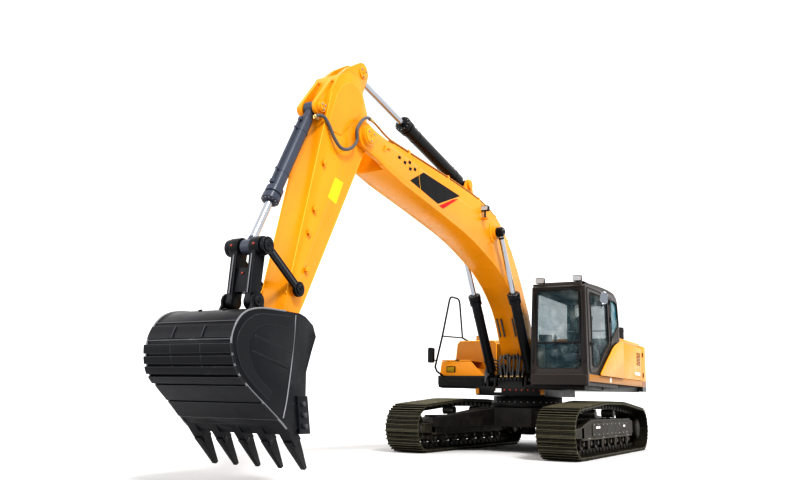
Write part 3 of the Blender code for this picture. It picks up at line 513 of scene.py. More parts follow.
def make_scratching():
    """Mask of long fine scratches in two directions and of patches of wear, from 0 to 1."""
    tree, given, out = tree_of("scratching", [("Amount", "NodeSocketFloat", 0.5),
                                              ("Scale", "NodeSocketFloat", 3.0)],
                               [("Mask", "NodeSocketFloat")])
    place = put(tree, "ShaderNodeTexCoord").outputs["Object"]
    marks = []
    for turn, stretch in (((0.3, 0.2, 0.5), (1.0, 14.0, 1.0)), ((0.9, 1.2, 0.1), (16.0, 1.0, 1.0))):
        laid = put(tree, "ShaderNodeMapping", [("Vector", place), ("Rotation", turn),
                                               ("Scale", stretch)]).outputs[0]
        grain = put(tree, "ShaderNodeTexNoise", [("Vector", laid), ("Scale", given.outputs["Scale"]),
                                                 ("Detail", 5.0), ("Roughness", 0.7)]).outputs[0]
        marks.append(ramp(tree, grain, 0.60, 0.68))
    wear_and_highlight = put(tree, "ShaderNodeTexNoise", [("Vector", place), ("Scale", 4.0), ("Detail", 8.0),
                                            ("Roughness", 0.7)]).outputs[0]
    lines = times(tree, marks[0], marks[1], "MAXIMUM")
    mask = times(tree, times(tree, lines, ramp(tree, wear_and_highlight, 0.40, 0.62)), ramp(tree, wear_and_highlight, 0.66, 0.72),
                 "MAXIMUM")
    tree.links.new(times(tree, mask, given.outputs["Amount"]), out.inputs["Mask"])
    return tree


weathering, scratching = make_weathering(), make_scratching()
print("node groups:", weathering.name, scratching.name)


# %% Materials from the groups
def shader(name, roughness=0.5, metallic=0.0, **fixed):
    """New material; returns it, its tree and its Principled BSDF with fixed values set on its own sockets."""
    made = bpy.data.materials.new(name)
    made.use_nodes = True
    bsdf = made.node_tree.nodes["Principled BSDF"]
    for socket, value in {"Roughness": roughness, "Metallic": metallic, **fixed}.items():
        bsdf.inputs[socket].default_value = value
    return made, made.node_tree, bsdf


def enamel(name, color, roughness=0.3, dust=0.25, dust_color=(0.36, 0.29, 0.19), dirt_height=1.1, coat=0.25,
           bare=None, scratches=0.0, metallic=0.0, ripple=220.0, bump=0.02, shine=0.2, bands=()):
    """Painted metal: weathering on the colour, and bare metal where it is scratched.

    bands are (height, colour) pairs: below each height the paint is that colour.
    """
    made, tree, bsdf = shader(name, roughness, metallic, **{"Coat Weight": coat, "Coat Roughness": 0.12,
                                                            "Specular IOR Level": shine})
    aged = put(tree, "ShaderNodeGroup", node_tree=weathering)
    for socket, value in (("Paint", (*color, 1)), ("Dust", (*dust_color, 1)), ("Dust Amount", dust),
                          ("Dirt Height", dirt_height), ("Roughness", roughness), ("Ripple Scale", ripple)):
        aged.inputs[socket].default_value = value
    shown = (*color, 1)
    for height, band in bands:
        place = put(tree, "ShaderNodeSeparateXYZ", [(0, put(tree, "ShaderNodeTexCoord").outputs["Object"])])
        shown = blend(tree, times(tree, place.outputs[2], height, "LESS_THAN"), shown, (*band, 1))
    if bands:
        tree.links.new(shown, aged.inputs["Paint"])
    shown = aged.outputs["Color"]
    if scratches:
        marks = put(tree, "ShaderNodeGroup", [("Amount", scratches), ("Scale", 3.0)], node_tree=scratching)
        shown = blend(tree, marks.outputs["Mask"], shown, (*bare, 1))
    tree.links.new(shown, bsdf.inputs["Base Color"])
    tree.links.new(aged.outputs["Roughness"], bsdf.inputs["Roughness"])
    relief = put(tree, "ShaderNodeBump", [("Strength", bump), ("Distance", 0.004),
                                          ("Height", aged.outputs["Height"])])
    tree.links.new(relief.outputs["Normal"], bsdf.inputs["Normal"])
    return made


yellow = enamel("boom_yellow", (0.74, 0.285, 0.006), 0.28, dust=0.06, coat=0.12)
# The lighter yellow for bevel faces is a painted highlight along the edges; its scratches to bare metal are
# wear.
yellow_edge = enamel("yellow_edge", (0.86, 0.40, 0.03), 0.3, dust=0.05, bare=(0.35, 0.3, 0.25),
                     scratches=0.35)
cast_yellow = enamel("counterweight_yellow", (0.74, 0.285, 0.006), 0.28, dust=0.06, coat=0.12,
                     bands=((1.40, (0.26, 0.085, 0.008)), (1.27, (0.009, 0.008, 0.008))))
amber = enamel("deck_amber", (0.36, 0.15, 0.015), 0.36, dust=0.10, coat=0.12)
cab_paint = enamel("cab_warm_grey", (0.030, 0.024, 0.021), 0.34, dust=0.08, coat=0.06)
# The lighter grey for the cab's bevel faces is a painted highlight along the edges.
cab_edge = enamel("cab_edge", (0.075, 0.066, 0.062), 0.36, dust=0.08)
black = enamel("frame_black", (0.007, 0.006, 0.006), 0.36, dust=0.06, coat=0.03)
# The lighter black for bevel faces is a painted highlight along the edges; its scratches to bare metal are
# wear.
black_edge_highlight_and_wear = enamel("frame_black_edge", (0.035, 0.033, 0.032), 0.42, dust=0.2, bare=(0.2, 0.19, 0.18),
                    scratches=0.4)
charcoal = enamel("bucket_charcoal", (0.0075, 0.008, 0.0105), 0.36, dust=0.04, coat=0.05,
                  bare=(0.05, 0.05, 0.055), scratches=0.35, dirt_height=0.6)
# The lighter charcoal for bevel faces and small fittings is a painted highlight; its scratches to bare metal
# are wear.
charcoal_edge_highlight_and_wear = enamel("bucket_edge", (0.055, 0.056, 0.062), 0.35, dust=0.05, bare=(0.2, 0.2, 0.2),
                       scratches=0.5, dirt_height=0.6)
cylinder_black = enamel("cylinder_black", (0.009, 0.009, 0.011), 0.3, dust=0.08, coat=0.06)
slate = enamel("cylinder_slate", (0.055, 0.062, 0.085), 0.3, dust=0.06, coat=0.1)
track_steel = enamel("track_steel", (0.017, 0.016, 0.011), 0.45, dust=0.25, dust_color=(0.07, 0.06, 0.035),
                     dirt_height=0.9, coat=0.0, metallic=0.3, bare=(0.12, 0.11, 0.08), scratches=0.4,
                     bump=0.08)
# The much lighter steel for the shoes' bevel faces is a painted highlight along the grousers; where scratched
# bare it is wear.
track_edge = enamel("track_edge", (0.20, 0.185, 0.13), 0.42, dust=0.2, dust_color=(0.12, 0.10, 0.06),
                    coat=0.0, metallic=0.7, bare=(0.45, 0.43, 0.4), scratches=0.8)
olive = enamel("track_frame_olive", (0.024, 0.021, 0.016), 0.45, dust=0.2, dust_color=(0.09, 0.075, 0.045),
               dirt_height=0.8, coat=0.0, bare=(0.08, 0.07, 0.05), scratches=0.3, bump=0.06)
# The lighter, half metallic colour for the track frames' bevel faces is a painted highlight along the edges,
# partly bare worn metal.
olive_edge_highlight_and_wear = enamel("track_frame_edge", (0.13, 0.12, 0.10), 0.45, dust=0.3, coat=0.0, metallic=0.4)
chain_steel = enamel("chain_steel", (0.014, 0.013, 0.010), 0.42, dust=0.25, dust_color=(0.13, 0.11, 0.07),
                     coat=0.0, metallic=0.5)
roller_steel = enamel("roller_steel", (0.10, 0.095, 0.085), 0.42, dust=0.35, dust_color=(0.15, 0.12, 0.08),
                      coat=0.0, metallic=0.6)
hose_grey = enamel("hose_grey", (0.11, 0.11, 0.115), 0.42, dust=0.1, coat=0.0, ripple=400.0, bump=0.1)
weld_grey = enamel("weld_grey", (0.20, 0.20, 0.21), 0.42, dust=0.05, coat=0.0)
nipple_red = enamel("nipple_red", (0.30, 0.05, 0.035), 0.4, dust=0.05)
lining = enamel("cab_lining", (0.125, 0.105, 0.078), 0.75, dust=0.0, coat=0.0, ripple=500.0, bump=0.1)
plastic = enamel("black_plastic", (0.022, 0.022, 0.023), 0.5, dust=0.15, coat=0.0, ripple=600.0, bump=0.12)
rubber = enamel("hose_rubber", (0.017, 0.017, 0.018), 0.55, dust=0.2, coat=0.0, ripple=400.0, bump=0.1)
steel = enamel("pin_steel", (0.32, 0.31, 0.30), 0.35, dust=0.1, coat=0.0, metallic=0.9)
brass = enamel("plated_fitting", (0.55, 0.42, 0.20), 0.32, dust=0.1, coat=0.0, metallic=0.9)
plate_white = enamel("blank_plate", (0.82, 0.82, 0.80), 0.4, dust=0.05, coat=0.1)
stripe_red = enamel("stripe_red", (0.60, 0.012, 0.012), 0.4, dust=0.02, coat=0.0, shine=0.1)
decal_black = enamel("panel_black", (0.007, 0.007, 0.008), 0.4, dust=0.02, coat=0.0, shine=0.1)
warning_yellow = enamel("label_yellow", (0.80, 0.52, 0.01), 0.4, dust=0.03, coat=0.05)
chrome = enamel("rod_chrome", (0.46, 0.48, 0.52), 0.16, dust=0.03, coat=0.0, metallic=1.0, bump=0.004)
mirror_glass = enamel("mirror_glass", (0.26, 0.28, 0.31), 0.04, dust=0.02, coat=0.0, metallic=1.0, bump=0.0)
print(len(bpy.data.materials), "materials")


# %% Glass, lamps and cloth
def pane_glass(name, tint, alpha):
    """Tinted safety glass, thin enough to see through, a little dusty in patches."""
    made, tree, bsdf = shader(name, 0.03, 0.0, **{"IOR": 1.5, "Specular IOR Level": 0.3})
    place = put(tree, "ShaderNodeTexCoord").outputs["Object"]
    haze = put(tree, "ShaderNodeTexNoise", [("Vector", place), ("Scale", 5.0), ("Detail", 6.0)]).outputs[0]
    tree.links.new(blend(tree, ramp(tree, haze, 0.45, 0.8), (*tint, 1), (0.5, 0.56, 0.55, 1)),
                   bsdf.inputs["Base Color"])
    tree.links.new(put(tree, "ShaderNodeMapRange",
                       [(0, haze), (1, 0.35), (2, 0.8), (3, alpha), (4, alpha + 0.12)] ).outputs[0],
                   bsdf.inputs["Alpha"])
    tree.links.new(put(tree, "ShaderNodeMapRange",
                       [(0, haze), (1, 0.3), (2, 0.8), (3, 0.02), (4, 0.10)]).outputs[0],
                   bsdf.inputs["Roughness"])
    return made


def woven(name, color, thread):
    """Seat cloth: two crossing sets of threads as a height, and a lighter nap where they rise."""
    made, tree, bsdf = shader(name, 0.92, 0.0, **{"Sheen Weight": 0.35, "Sheen Roughness": 0.5})
    place = put(tree, "ShaderNodeTexCoord").outputs["Object"]
    bands = [put(tree, "ShaderNodeTexWave", [("Vector", place), ("Scale", thread), ("Distortion", 0.6)],
                 bands_direction=d).outputs[1] for d in ("X", "Y", "Z")]
    weave = times(tree, times(tree, bands[0], bands[1], "MAXIMUM"), bands[2])
    flecks = put(tree, "ShaderNodeTexNoise", [("Vector", place), ("Scale", 260.0)]).outputs[0]
    light = tuple(min(1.0, c * 2.2 + 0.01) for c in color)
    share = times(tree, weave, ramp(tree, flecks, 0.35, 0.7))
    tree.links.new(blend(tree, share, (*color, 1), (*light, 1)), bsdf.inputs["Base Color"])
    relief = put(tree, "ShaderNodeBump", [("Strength", 0.35), ("Distance", 0.002), ("Height", weave)])
    tree.links.new(relief.outputs["Normal"], bsdf.inputs["Normal"])
    return made


def glowing(name, color, strength):
    """Lamp glass over its reflector: bright, ribbed, a little emissive."""
    made, tree, bsdf = shader(name, 0.15, 0.0, **{"Emission Strength": strength})
    place = put(tree, "ShaderNodeTexCoord").outputs["Object"]
    ribs = put(tree, "ShaderNodeTexWave", [("Vector", place), ("Scale", 28.0)],
               bands_direction="X").outputs[1]
    shade = blend(tree, ramp(tree, ribs, 0.2, 0.9), (*color, 1), (*(c * 0.72 for c in color), 1))
    tree.links.new(shade, bsdf.inputs["Base Color"])
    tree.links.new(shade, bsdf.inputs["Emission Color"])
    relief = put(tree, "ShaderNodeBump", [("Strength", 0.3), ("Distance", 0.003), ("Height", ribs)])
    tree.links.new(relief.outputs["Normal"], bsdf.inputs["Normal"])
    return made


glass = pane_glass("window_glass", (0.08, 0.16, 0.19), 0.10)
tinted = pane_glass("tinted_glass", (0.02, 0.20, 0.27), 0.42)
seat_cloth = woven("seat_cloth", (0.035, 0.036, 0.042), 120.0)
lens = glowing("lamp_glass", (0.42, 0.44, 0.46), 0.1)
red_lens = glowing("tail_lamp_glass", (0.5, 0.015, 0.01), 0.1)
print("glass, cloth and lamps ready")

# %% [markdown]

# %% [markdown]
# ## The plates of the frame
# Where the frame's own shape is right, its node is copied, its triangles are merged back into whole plates,
# and a bevel of a few millimetres rounds every folded or cut edge.  The bevel's faces take a slightly
# lighter paint, which is a painted highlight along each edge; most of these paints also carry scratches,
# the wear that hands and stones leave there first.

# %% Plates
plates = [("boom", "boom_plates", yellow, 0.007, yellow_edge),
          ("arm", "arm_plates", yellow, 0.007, yellow_edge),
          ("counterweight", "counterweight_casting", cast_yellow, 0.02, None),
          ("left_quarter_panel", "quarter_panel_sheet", yellow, 0.006, yellow_edge),
          ("left_side_door", "left_engine_door_sheet", yellow, 0.006, yellow_edge),
          ("right_side_door", "right_engine_door_sheet", yellow, 0.006, yellow_edge),
          ("engine_hood", "hood_sheet", yellow, 0.010, yellow_edge),
          ("toolbox", "toolbox_sheet", yellow, 0.006, yellow_edge),
          ("toolbox_lid", "toolbox_lid_sheet", yellow, 0.006, yellow_edge),
          ("fuel_tank", "fuel_tank_sheet", amber, 0.012, yellow_edge),
          ("left_sill", "left_sill_channel", amber, 0.008, amber),
          ("right_sill", "right_sill_channel", amber, 0.008, amber),
          ("cab_shell", "cab_shell_panels", cab_paint, 0.008, cab_edge),
          ("cab_door", "cab_door_frame", cab_paint, 0.006, cab_edge),
          ("carbody", "carbody_plates", black, 0.008, black_edge_highlight_and_wear),
          ("upper_frame", "upper_frame_plates", black, 0.005, black_edge_highlight_and_wear),
          ("bucket", "bucket_plates", charcoal, 0.006, charcoal_edge_highlight_and_wear),
          ("bucket_link", "bucket_link_casting", charcoal, 0.006, charcoal_edge_highlight_and_wear),
          ("guide_link_left", "guide_link_left_bar", charcoal, 0.006, charcoal_edge_highlight_and_wear),
          ("guide_link_right", "guide_link_right_bar", charcoal, 0.006, charcoal_edge_highlight_and_wear),
          ("slewing_ring", "slewing_ring_steel", black, 0.004, black_edge_highlight_and_wear),
          ("seat_console", "seat_console_moulding", plastic, 0.012, None),
          ("engine_block", "engine_block_casting", black, 0.02, None)]
for node, name, finish, edge, wear_and_highlight in plates:
    plated(node, name, finish, edge, wear_and_highlight)
print(len(plates), "plated pieces")

# %% Nodes that keep their own mesh
kept = {"windshield": glass, "right_window": tinted, "quarter_window": tinted, "rear_window": tinted,
        "door_window": glass, "handrail": black, "door_mirror": plastic, "air_cleaner": plastic,
        "exhaust_pipe": plastic, "sprocket_left": track_steel, "sprocket_right": track_steel}
for node, finish in kept.items():
    frame["nodes"][node].data.materials.clear()
    frame["nodes"][node].data.materials.append(finish)
print(len(kept), "nodes keep their mesh")

# %% [markdown]
# ## Tracks
# A track is fifty identical shoes bolted to a link chain.  The chain's line is the outline of the convex
# hull of four circles: idler, sprocket and two carrier rollers.  In direction n the hull's farthest point
# lies on the circle with the greatest c.n + r, at c + r n, so one sweep of n round a full turn draws the
# whole line, and the straight runs come by themselves.  Pins go along it at even distances and each shoe
# stands between two of them.


# %% The chain's line
def chain_pins(inset, count):
    """Pins evenly spaced on the hull of the track's circles, drawn in by inset: rows of (y, z)."""
    circles = np.array([(2.14, 0.42, 0.42), (0.62, 0.732, 0.22), (-0.62, 0.732, 0.22), (-2.14, 0.42, 0.42)])
    t = np.linspace(0, 2 * np.pi, 2880, endpoint=False)
    n = np.stack([np.cos(t), np.sin(t)], 1)
    best = (n @ circles[:, :2].T + circles[:, 2]).argmax(1)
    line = circles[best, :2] + (circles[best, 2:] - inset) * n
    line = np.concatenate([line, line[:1]])
    walked = np.concatenate([[0], np.linalg.norm(np.diff(line, axis=0), axis=1).cumsum()])
    at = np.arange(count) * walked[-1] / count
    return np.stack([np.interp(at, walked, line[:, i]) for i in range(2)], 1)


pins = chain_pins(0.10, 50)
after = np.roll(pins, -1, axis=0)
step = (after - pins) / np.linalg.norm(after - pins, axis=1)[:, None]
pitch = float(np.linalg.norm(after - pins, axis=1).max())


TRACK = 1.378


def along_chain(points, x):
    """Frames of chain parts at points of the chain: across the track, along the chain, outwards."""
    return [(spot(x, y, z), (1, 0, 0), (0, a, b), (0, b, -a)) for (y, z), (a, b) in zip(points, step)]


print("pitch", round(pitch, 4), "chain", round(pitch * 50, 2), "m")

# %% Shoes, links and bolts
half = pitch / 2 - 0.002
ribs = [(-half, 0.048), (half - 0.012, 0.048), (half + 0.030, 0.036), (half + 0.040, 0.038),
        (half + 0.040, 0.046), (half + 0.004, 0.058), (half - 0.018, 0.064), (half - 0.024, 0.100),
        (half - 0.038, 0.100), (half - 0.044, 0.064), (0.012, 0.062), (0.006, 0.098), (-0.008, 0.098),
        (-0.014, 0.062), (0.042 - half, 0.064), (0.037 - half, 0.100), (0.023 - half, 0.100),
        (0.017 - half, 0.066), (-half, 0.062)]
shoe = slab(ribs, -0.322, 0.322)
link = join(*(slab([(-0.092, -0.045), (0.092, -0.045), (0.108, -0.02), (0.108, 0.03), (0.09, 0.047),
                    (-0.09, 0.047), (-0.108, 0.03), (-0.108, -0.02)], *ends)
              for ends in ((-0.088, -0.062), (0.062, 0.088))))
boss = join(*(turned((x, 0, 0), (1, 0, 0), [(0, 0.034), (0.003, 0.039), (0.037, 0.039), (0.04, 0.034)], 14)
              for x in (-0.1, 0.06)), bar((-0.06, 0, 0), (0.06, 0, 0), 0.03, 12))
shoe_bolts = bolt_heads([(x, u, 0.062) for x in (-0.105, -0.048, 0.048, 0.105) for u in (-0.04, 0.04)],
                        (0, 0, 1), 0.0125, 0.013)
for side, word in ((1, "left"), (-1, "right")):
    middle = along_chain((pins + after) / 2, side * TRACK)
    piece(f"track_{word}_shoes", repeat(shoe, middle), "undercarriage", track_steel, 0.0032, 1,
          replaces=(f"track_{word}",), wear_and_highlight=track_edge)
    piece(f"track_{word}_links", join(repeat(link, middle), repeat(boss, along_chain(pins, side * TRACK))),
          "undercarriage", chain_steel)
    piece(f"track_{word}_bolts", repeat(shoe_bolts, middle), "undercarriage", chain_steel)
print("two tracks of", len(pins), "shoes")

# %% Track frames and rollers
beam = [(-1.72, 0.30), (1.62, 0.30), (1.74, 0.36), (1.74, 0.58), (1.45, 0.62), (-1.25, 0.62), (-1.72, 0.52)]
cover = rounded((-1.12, 1.28), (0.36, 0.565), 0.04)
roller = [(-0.165, 0.028), (-0.162, 0.042), (-0.145, 0.046), (-0.122, 0.052), (-0.118, 0.101),
          (-0.104, 0.101), (-0.100, 0.0885), (-0.034, 0.0885), (-0.022, 0.072)]
carrier = [(-0.125, 0.03), (-0.120, 0.055), (-0.112, 0.078), (-0.102, 0.078), (-0.096, 0.0745),
           (-0.03, 0.0745)]
idler = [(-0.150, 0.04), (-0.145, 0.075), (-0.09, 0.09), (-0.062, 0.13), (-0.062, 0.20), (-0.098, 0.225),
         (-0.100, 0.262), (-0.096, 0.268), (-0.054, 0.268), (-0.047, 0.284)]


def reflected(profile):
    """A turned profile followed by its own mirror image."""
    return profile + [(-s, r) for s, r in profile[::-1]]


for side, word in ((1, "left"), (-1, "right")):
    x = side * TRACK
    shapes = [slab(yz(beam), x - 0.19, x + 0.19),
              slab(yz(cover), x + side * 0.18, x + side * 0.203),
              crate((x - 0.205, -1.27, 0.612), (x + 0.205, 1.46, 0.634)),
              crate((x - 0.205, -1.70, 0.30), (x + 0.205, 1.60, 0.322)),
              crate((x - side * 0.115, 1.6, 0.34), (x - side * 0.19, 2.25, 0.56))]
    for inner in (-0.19, 0.14):
        shapes.append(slab(yz(((-2.24, 0.35), (-1.6, 0.33), (-1.6, 0.51), (-2.24, 0.49))),
                           x + inner, x + inner + 0.05))
        shapes.append(crate((x + inner - 0.006, -2.05, 0.36), (x + inner + 0.056, -1.90, 0.50)))
    for y in (-0.62, 0.62):
        foot_plate = [(y - 0.07, 0.60), (y + 0.07, 0.60), (y + 0.03, 0.73), (y - 0.03, 0.73)]
        shapes.append(slab(yz(foot_plate), x - 0.02, x + 0.02))
    for y in (-1.35, -0.48, 0.39, 1.26):
        guard = [(y - 0.06, 0.31), (y + 0.06, 0.31), (y + 0.04, 0.175), (y - 0.04, 0.175)]
        shapes.append(slab(yz(guard), x + side * 0.185, x + side * 0.20))
    piece(f"track_frame_{word}_weldment", join(*shapes), "undercarriage", olive, 0.005,
          replaces=(f"track_frame_{word}",), wear_and_highlight=olive_edge_highlight_and_wear)
    wheels = [turned(spot(x, -1.52 + i * 0.435, 0.2385), (1, 0, 0), reflected(roller), 28) for i in range(8)]
    wheels += [turned(spot(x, y, 0.7265), (1, 0, 0), reflected(carrier), 24) for y in (-0.62, 0.62)]
    wheels += [turned(spot(x, -2.14, 0.42), (1, 0, 0), reflected(idler), 48),
               bar(spot(x - 0.195, -2.14, 0.42), spot(x + 0.195, -2.14, 0.42), 0.055),
               turned(spot(x - side * 0.115, 2.14, 0.42), (-side, 0, 0),
                      [(0, 0.19), (0.08, 0.19), (0.085, 0.165), (0.17, 0.165), (0.185, 0.14), (0.19, 0.05)],
                      32)]
    piece(f"track_{word}_rollers", join(*wheels), "undercarriage", roller_steel, 0.002, 1)
    face = side * (TRACK + 0.19)
    hub = [turned(spot(face, 2.14, 0.42), (side, 0, 0), [(-0.02, 0.187), (0.006, 0.187), (0.010, 0.16),
                                                         (0.024, 0.15), (0.030, 0.06), (0.034, 0.05)], 40)]
    hub.append(bolt_heads(ring_places(spot(face + side * 0.006, 2.14, 0.42), (1, 0, 0), 0.173, 20),
                          (side, 0, 0), 0.009))
    piece(f"sprocket_{word}_cover", join(*hub), "undercarriage", olive, 0.0015, 1)
    heads = [(face + side * 0.013, y, z) for y in np.linspace(-1.05, 1.21, 9) for z in (0.38, 0.545)]
    heads += [(face + side * 0.01, y + k, 0.325) for y in (-1.35, -0.48, 0.39, 1.26) for k in (-0.035, 0.035)]
    piece(f"track_frame_{word}_bolts", bolt_heads([spot(*p) for p in heads], (side, 0, 0), 0.010, 0.007),
          "undercarriage", steel)
    labels = [(face + side * 0.0135, y, z, w) for y, z, w in ((-0.86, 0.50, 0.07), (-0.72, 0.50, 0.05),
                                                              (1.02, 0.50, 0.07))]
    piece(f"track_frame_{word}_labels", join(*(crate((a, b - w, c - 0.02),
                                                     (a + side * 0.0015, b + w, c + 0.02))
                                               for a, b, c, w in labels)), "undercarriage", plate_white)
print("frames, rollers, idlers and hubs")

# %% Carbody details
marks = [bolt_heads(ring_places(spot(0, 0, 0.9), (0, 0, 1), 0.677, 36), (0, 0, 1), 0.012, 0.014)]
piece("slewing_ring_bolts", join(*marks), "undercarriage", steel)
swivel = [turned(spot(0, 0, 0.30), (0, 0, 1), [(0, 0.12), (0.02, 0.14), (0.17, 0.14)], 28)]
swivel += [tube(smooth(spots((sx * 0.10, 0.08, 0.36), (sx * 0.32, 0.42, 0.36), (sx * 0.66, 1.28, 0.40),
                        (sx * 1.0, 1.95, 0.42), (sx * 1.08, 2.12, 0.44)), 10), 0.016) for sx in (-1, 1)]
swivel += [tube(smooth(spots((sx * 0.10, 0.03, 0.33), (sx * 0.34, 0.36, 0.33), (sx * 0.70, 1.26, 0.37),
                        (sx * 1.0, 1.95, 0.37), (sx * 1.08, 2.15, 0.38)), 10), 0.016) for sx in (-1, 1)]
piece("swivel_joint_and_hoses", join(*swivel), "undercarriage", rubber)
print("carbody details")

# %% [markdown]
# ## Hydraulic cylinders
# Each cylinder keeps the pins and diameters of the frame.  The barrel is a turned profile with a welded
# foot and a bolted gland, the pressure pipe runs along it on two clamps, and the rod is one straight ground
# bar whose rounded end sits in the eye.


# %% Cylinders
def ram(name, base, eye, barrel, gland, shaft, share, inner, x, half, body, finish):
    """Barrel, pipe, bolts, rod and eyes of one cylinder between its two pins."""
    base, eye = np.array((x, base[1], base[2])), np.array((x, eye[1], eye[2]))
    length = float(np.linalg.norm(eye - base))
    axis = (eye - base) / length
    away = np.array((0.0, axis[2], -axis[1]))
    mouth = length * share
    shell = [(0.18, 0.05), (0.185, barrel - 0.02), (0.20, barrel), (mouth - 0.195, barrel),
             (mouth - 0.185, gland - 0.004), (mouth - 0.11, gland - 0.004), (mouth - 0.105, barrel + 0.004),
             (mouth - 0.085, barrel + 0.004), (mouth - 0.080, gland), (mouth - 0.012, gland),
             (mouth - 0.004, gland - 0.008), (mouth, shaft + 0.016), (mouth, shaft + 0.0015),
             (mouth - 0.03, shaft + 0.0015)]
    across = np.array((1.0, 0, 0))
    eye_shape = [(-half, 0.062), (-half, EYE - 0.006), (0.006 - half, EYE), (half - 0.006, EYE),
                 (half, EYE - 0.006), (half, 0.062)]
    neck = turned(base, axis, [(0.03, 0.9 * half), (0.14, 0.9 * half), (0.185, barrel - 0.02)], 28)
    lines = [turned(base, axis, shell, 36), neck, turned(base, across, eye_shape, 32)]
    piece(f"{name}_tube", join(*lines), body[0], finish, 0.0025, 1, replaces=(f"{name}_barrel",))
    ends = [base + axis * s + away * r for s, r in ((0.27, barrel - 0.01), (0.27, barrel + 0.022),
                                                    (0.34, barrel + 0.024), (mouth - 0.30, barrel + 0.024),
                                                    (mouth - 0.235, barrel + 0.022),
                                                    (mouth - 0.235, barrel - 0.01))]
    blocks = [base + axis * s + away * (barrel + 0.006) for s in (0.27, mouth - 0.235)]
    u = np.cross(axis, away)
    fittings = repeat(block((-0.026, -0.026, -0.022), (0.026, 0.026, 0.022)),
                      [(p, u, axis, away) for p in blocks])
    clamps = repeat(block((-0.02, -0.014, -0.020), (0.02, 0.014, 0.016)),
                    [(base + axis * s + away * (barrel + 0.022), u, axis, away)
                     for s in (0.42, mouth - 0.42)])
    strap = [hoop(base, axis, [(s - 0.012, barrel - 0.01), (s - 0.012, barrel + 0.004),
                               (s + 0.012, barrel + 0.004), (s + 0.012, barrel - 0.01)], 32)
             for s in (0.42, mouth - 0.42)]
    line = np.concatenate([np.linspace(a, b, 6, endpoint=False) for a, b in zip(ends, ends[1:])]
                          + [[ends[-1]]])
    piece(f"{name}_pipe", join(tube(line, 0.013), fittings, clamps, *strap), body[0], finish, 0.002, 1)
    bolts = ring_places(base + axis * mouth - axis * 0.005, axis, gland - 0.022, 12)
    piece(f"{name}_gland_bolts", bolt_heads(bolts, axis, 0.0085, 0.008), body[0], steel)
    piece(f"{name}_shaft", bar(base + axis * inner, eye - axis * 0.05, shaft, 32), body[1], chrome,
          replaces=(f"{name}_rod",))
    collar = turned(eye, -axis, [(0.03, 0.8 * half), (0.075, 0.8 * half), (0.105, shaft + 0.004),
                                 (0.125, shaft + 0.003)], 28)
    piece(f"{name}_rod_eye", join(collar, turned(eye, across, eye_shape, 32)), body[1], finish, 0.002, 1)


EYE = 0.085
for side, word in ((1, "left"), (-1, "right")):
    ram(f"boom_cylinder_{word}", spot(0, -0.80, 1.30), spot(0, -2.31, 3.785), 0.088, 0.112, 0.045, 0.60, 0.77,
        side * 0.378, 0.05, (f"boom_barrel_{word}", f"boom_rod_{word}"), cylinder_black)
ram("arm_cylinder", spot(0, -3.05, 4.475), spot(0, -6.50, 5.17), 0.102, 0.122, 0.047, 0.615, 1.0, 0.0, 0.065,
    ("arm_barrel", "arm_rod"), cylinder_black)
ram("bucket_cylinder", spot(0, -7.44, 4.37), spot(0, -8.45, 2.47), 0.081, 0.105, 0.045, 0.70, 0.55, 0.0,
    0.065, ("bucket_barrel", "bucket_rod"), slate)
print("four kinds of cylinder on their pins")

# %% [markdown]
# ## Boom and arm
# Steel lines and hoses run along the boom on welded clamps, and one loose loop crosses to the arm at the
# elbow; it is one piece that rides on neither body.  The rest is what a fabricator adds: a raised border on
# the side plates, pins with keeper plates, weld beads and lamps.

# %% Boom and arm details
B = 0.258
boom_top = smooth([(-5.85, 4.352), (-5.08, 4.325), (-4.07, 4.29), (-3.1, 4.235), (-2.52, 4.15),
                   (-2.02, 3.985), (-1.62, 3.72), (-1.26, 3.37), (-0.94, 2.98), (-0.58, 2.48)], 6)


def over_boom(x, rise):
    """Path that follows the boom's top plate at a height above it."""
    slope = np.gradient(boom_top, axis=0)
    slope /= np.linalg.norm(slope, axis=1)[:, None]
    lifted = boom_top + rise * np.stack([-slope[:, 1], slope[:, 0]], 1)
    return np.array([spot(x, y, z) for y, z in lifted])


lines = [tube(over_boom(x, 0.05), 0.016, 12) for x in (0.215, 0.168, -0.168, -0.215)]
lines.append(tube(smooth(spots((0.27, -6.44, 4.487), (0.262, -6.30, 4.46), (0.250, -6.12, 4.42),
                               (0.235, -5.96, 4.40), (0.215, -5.82, 4.401)), 6), 0.014, 10))
piece("boom_steel_lines", join(*lines), "boom", amber)
saddles = []
for k in range(4, len(boom_top) - 2, 8):
    y, z = boom_top[k]
    for x in (0.192, -0.192):
        saddles.append(crate((x - 0.05, y - 0.025, z - 0.01), (x + 0.05, y + 0.025, z + 0.072)))
piece("boom_line_clamps", join(*saddles), "boom", yellow, 0.004, wear_and_highlight=yellow_edge)
hose_ends = [bar(*(over_boom(x, 0.05)[i] for i in (-3, -1)), 0.024, 12)
             for x in (0.215, 0.168, -0.168, -0.215)]
piece("boom_line_fittings", join(*hose_ends), "boom", brass)

plate = slab(yz([(-4.958, 4.178), (-3.70, 4.115), (-4.48, 3.812), (-5.367, 3.954)]), B - 0.002, B + 0.0015)
stripe = slab(yz([(-3.95, 4.000), (-3.762, 4.052), (-4.302, 3.775), (-4.439, 3.790)]), B - 0.002, B + 0.0028)
piece("boom_side_panel", both(plate), "boom", decal_black)
piece("boom_side_stripe", both(stripe), "boom", stripe_red)
chips = [slab(yz([(y, z), (y + 0.02, z + 0.045), (y - 0.05, z + 0.048), (y - 0.07, z + 0.003)]), B - 0.002,
              B + 0.0015) for y, z in ((-5.20, 4.13), (-5.34, 4.10), (-5.36, 4.19), (-5.50, 4.15),
                                       (-5.66, 4.18))]
piece("boom_side_chips", both(join(*chips)), "boom", decal_black)

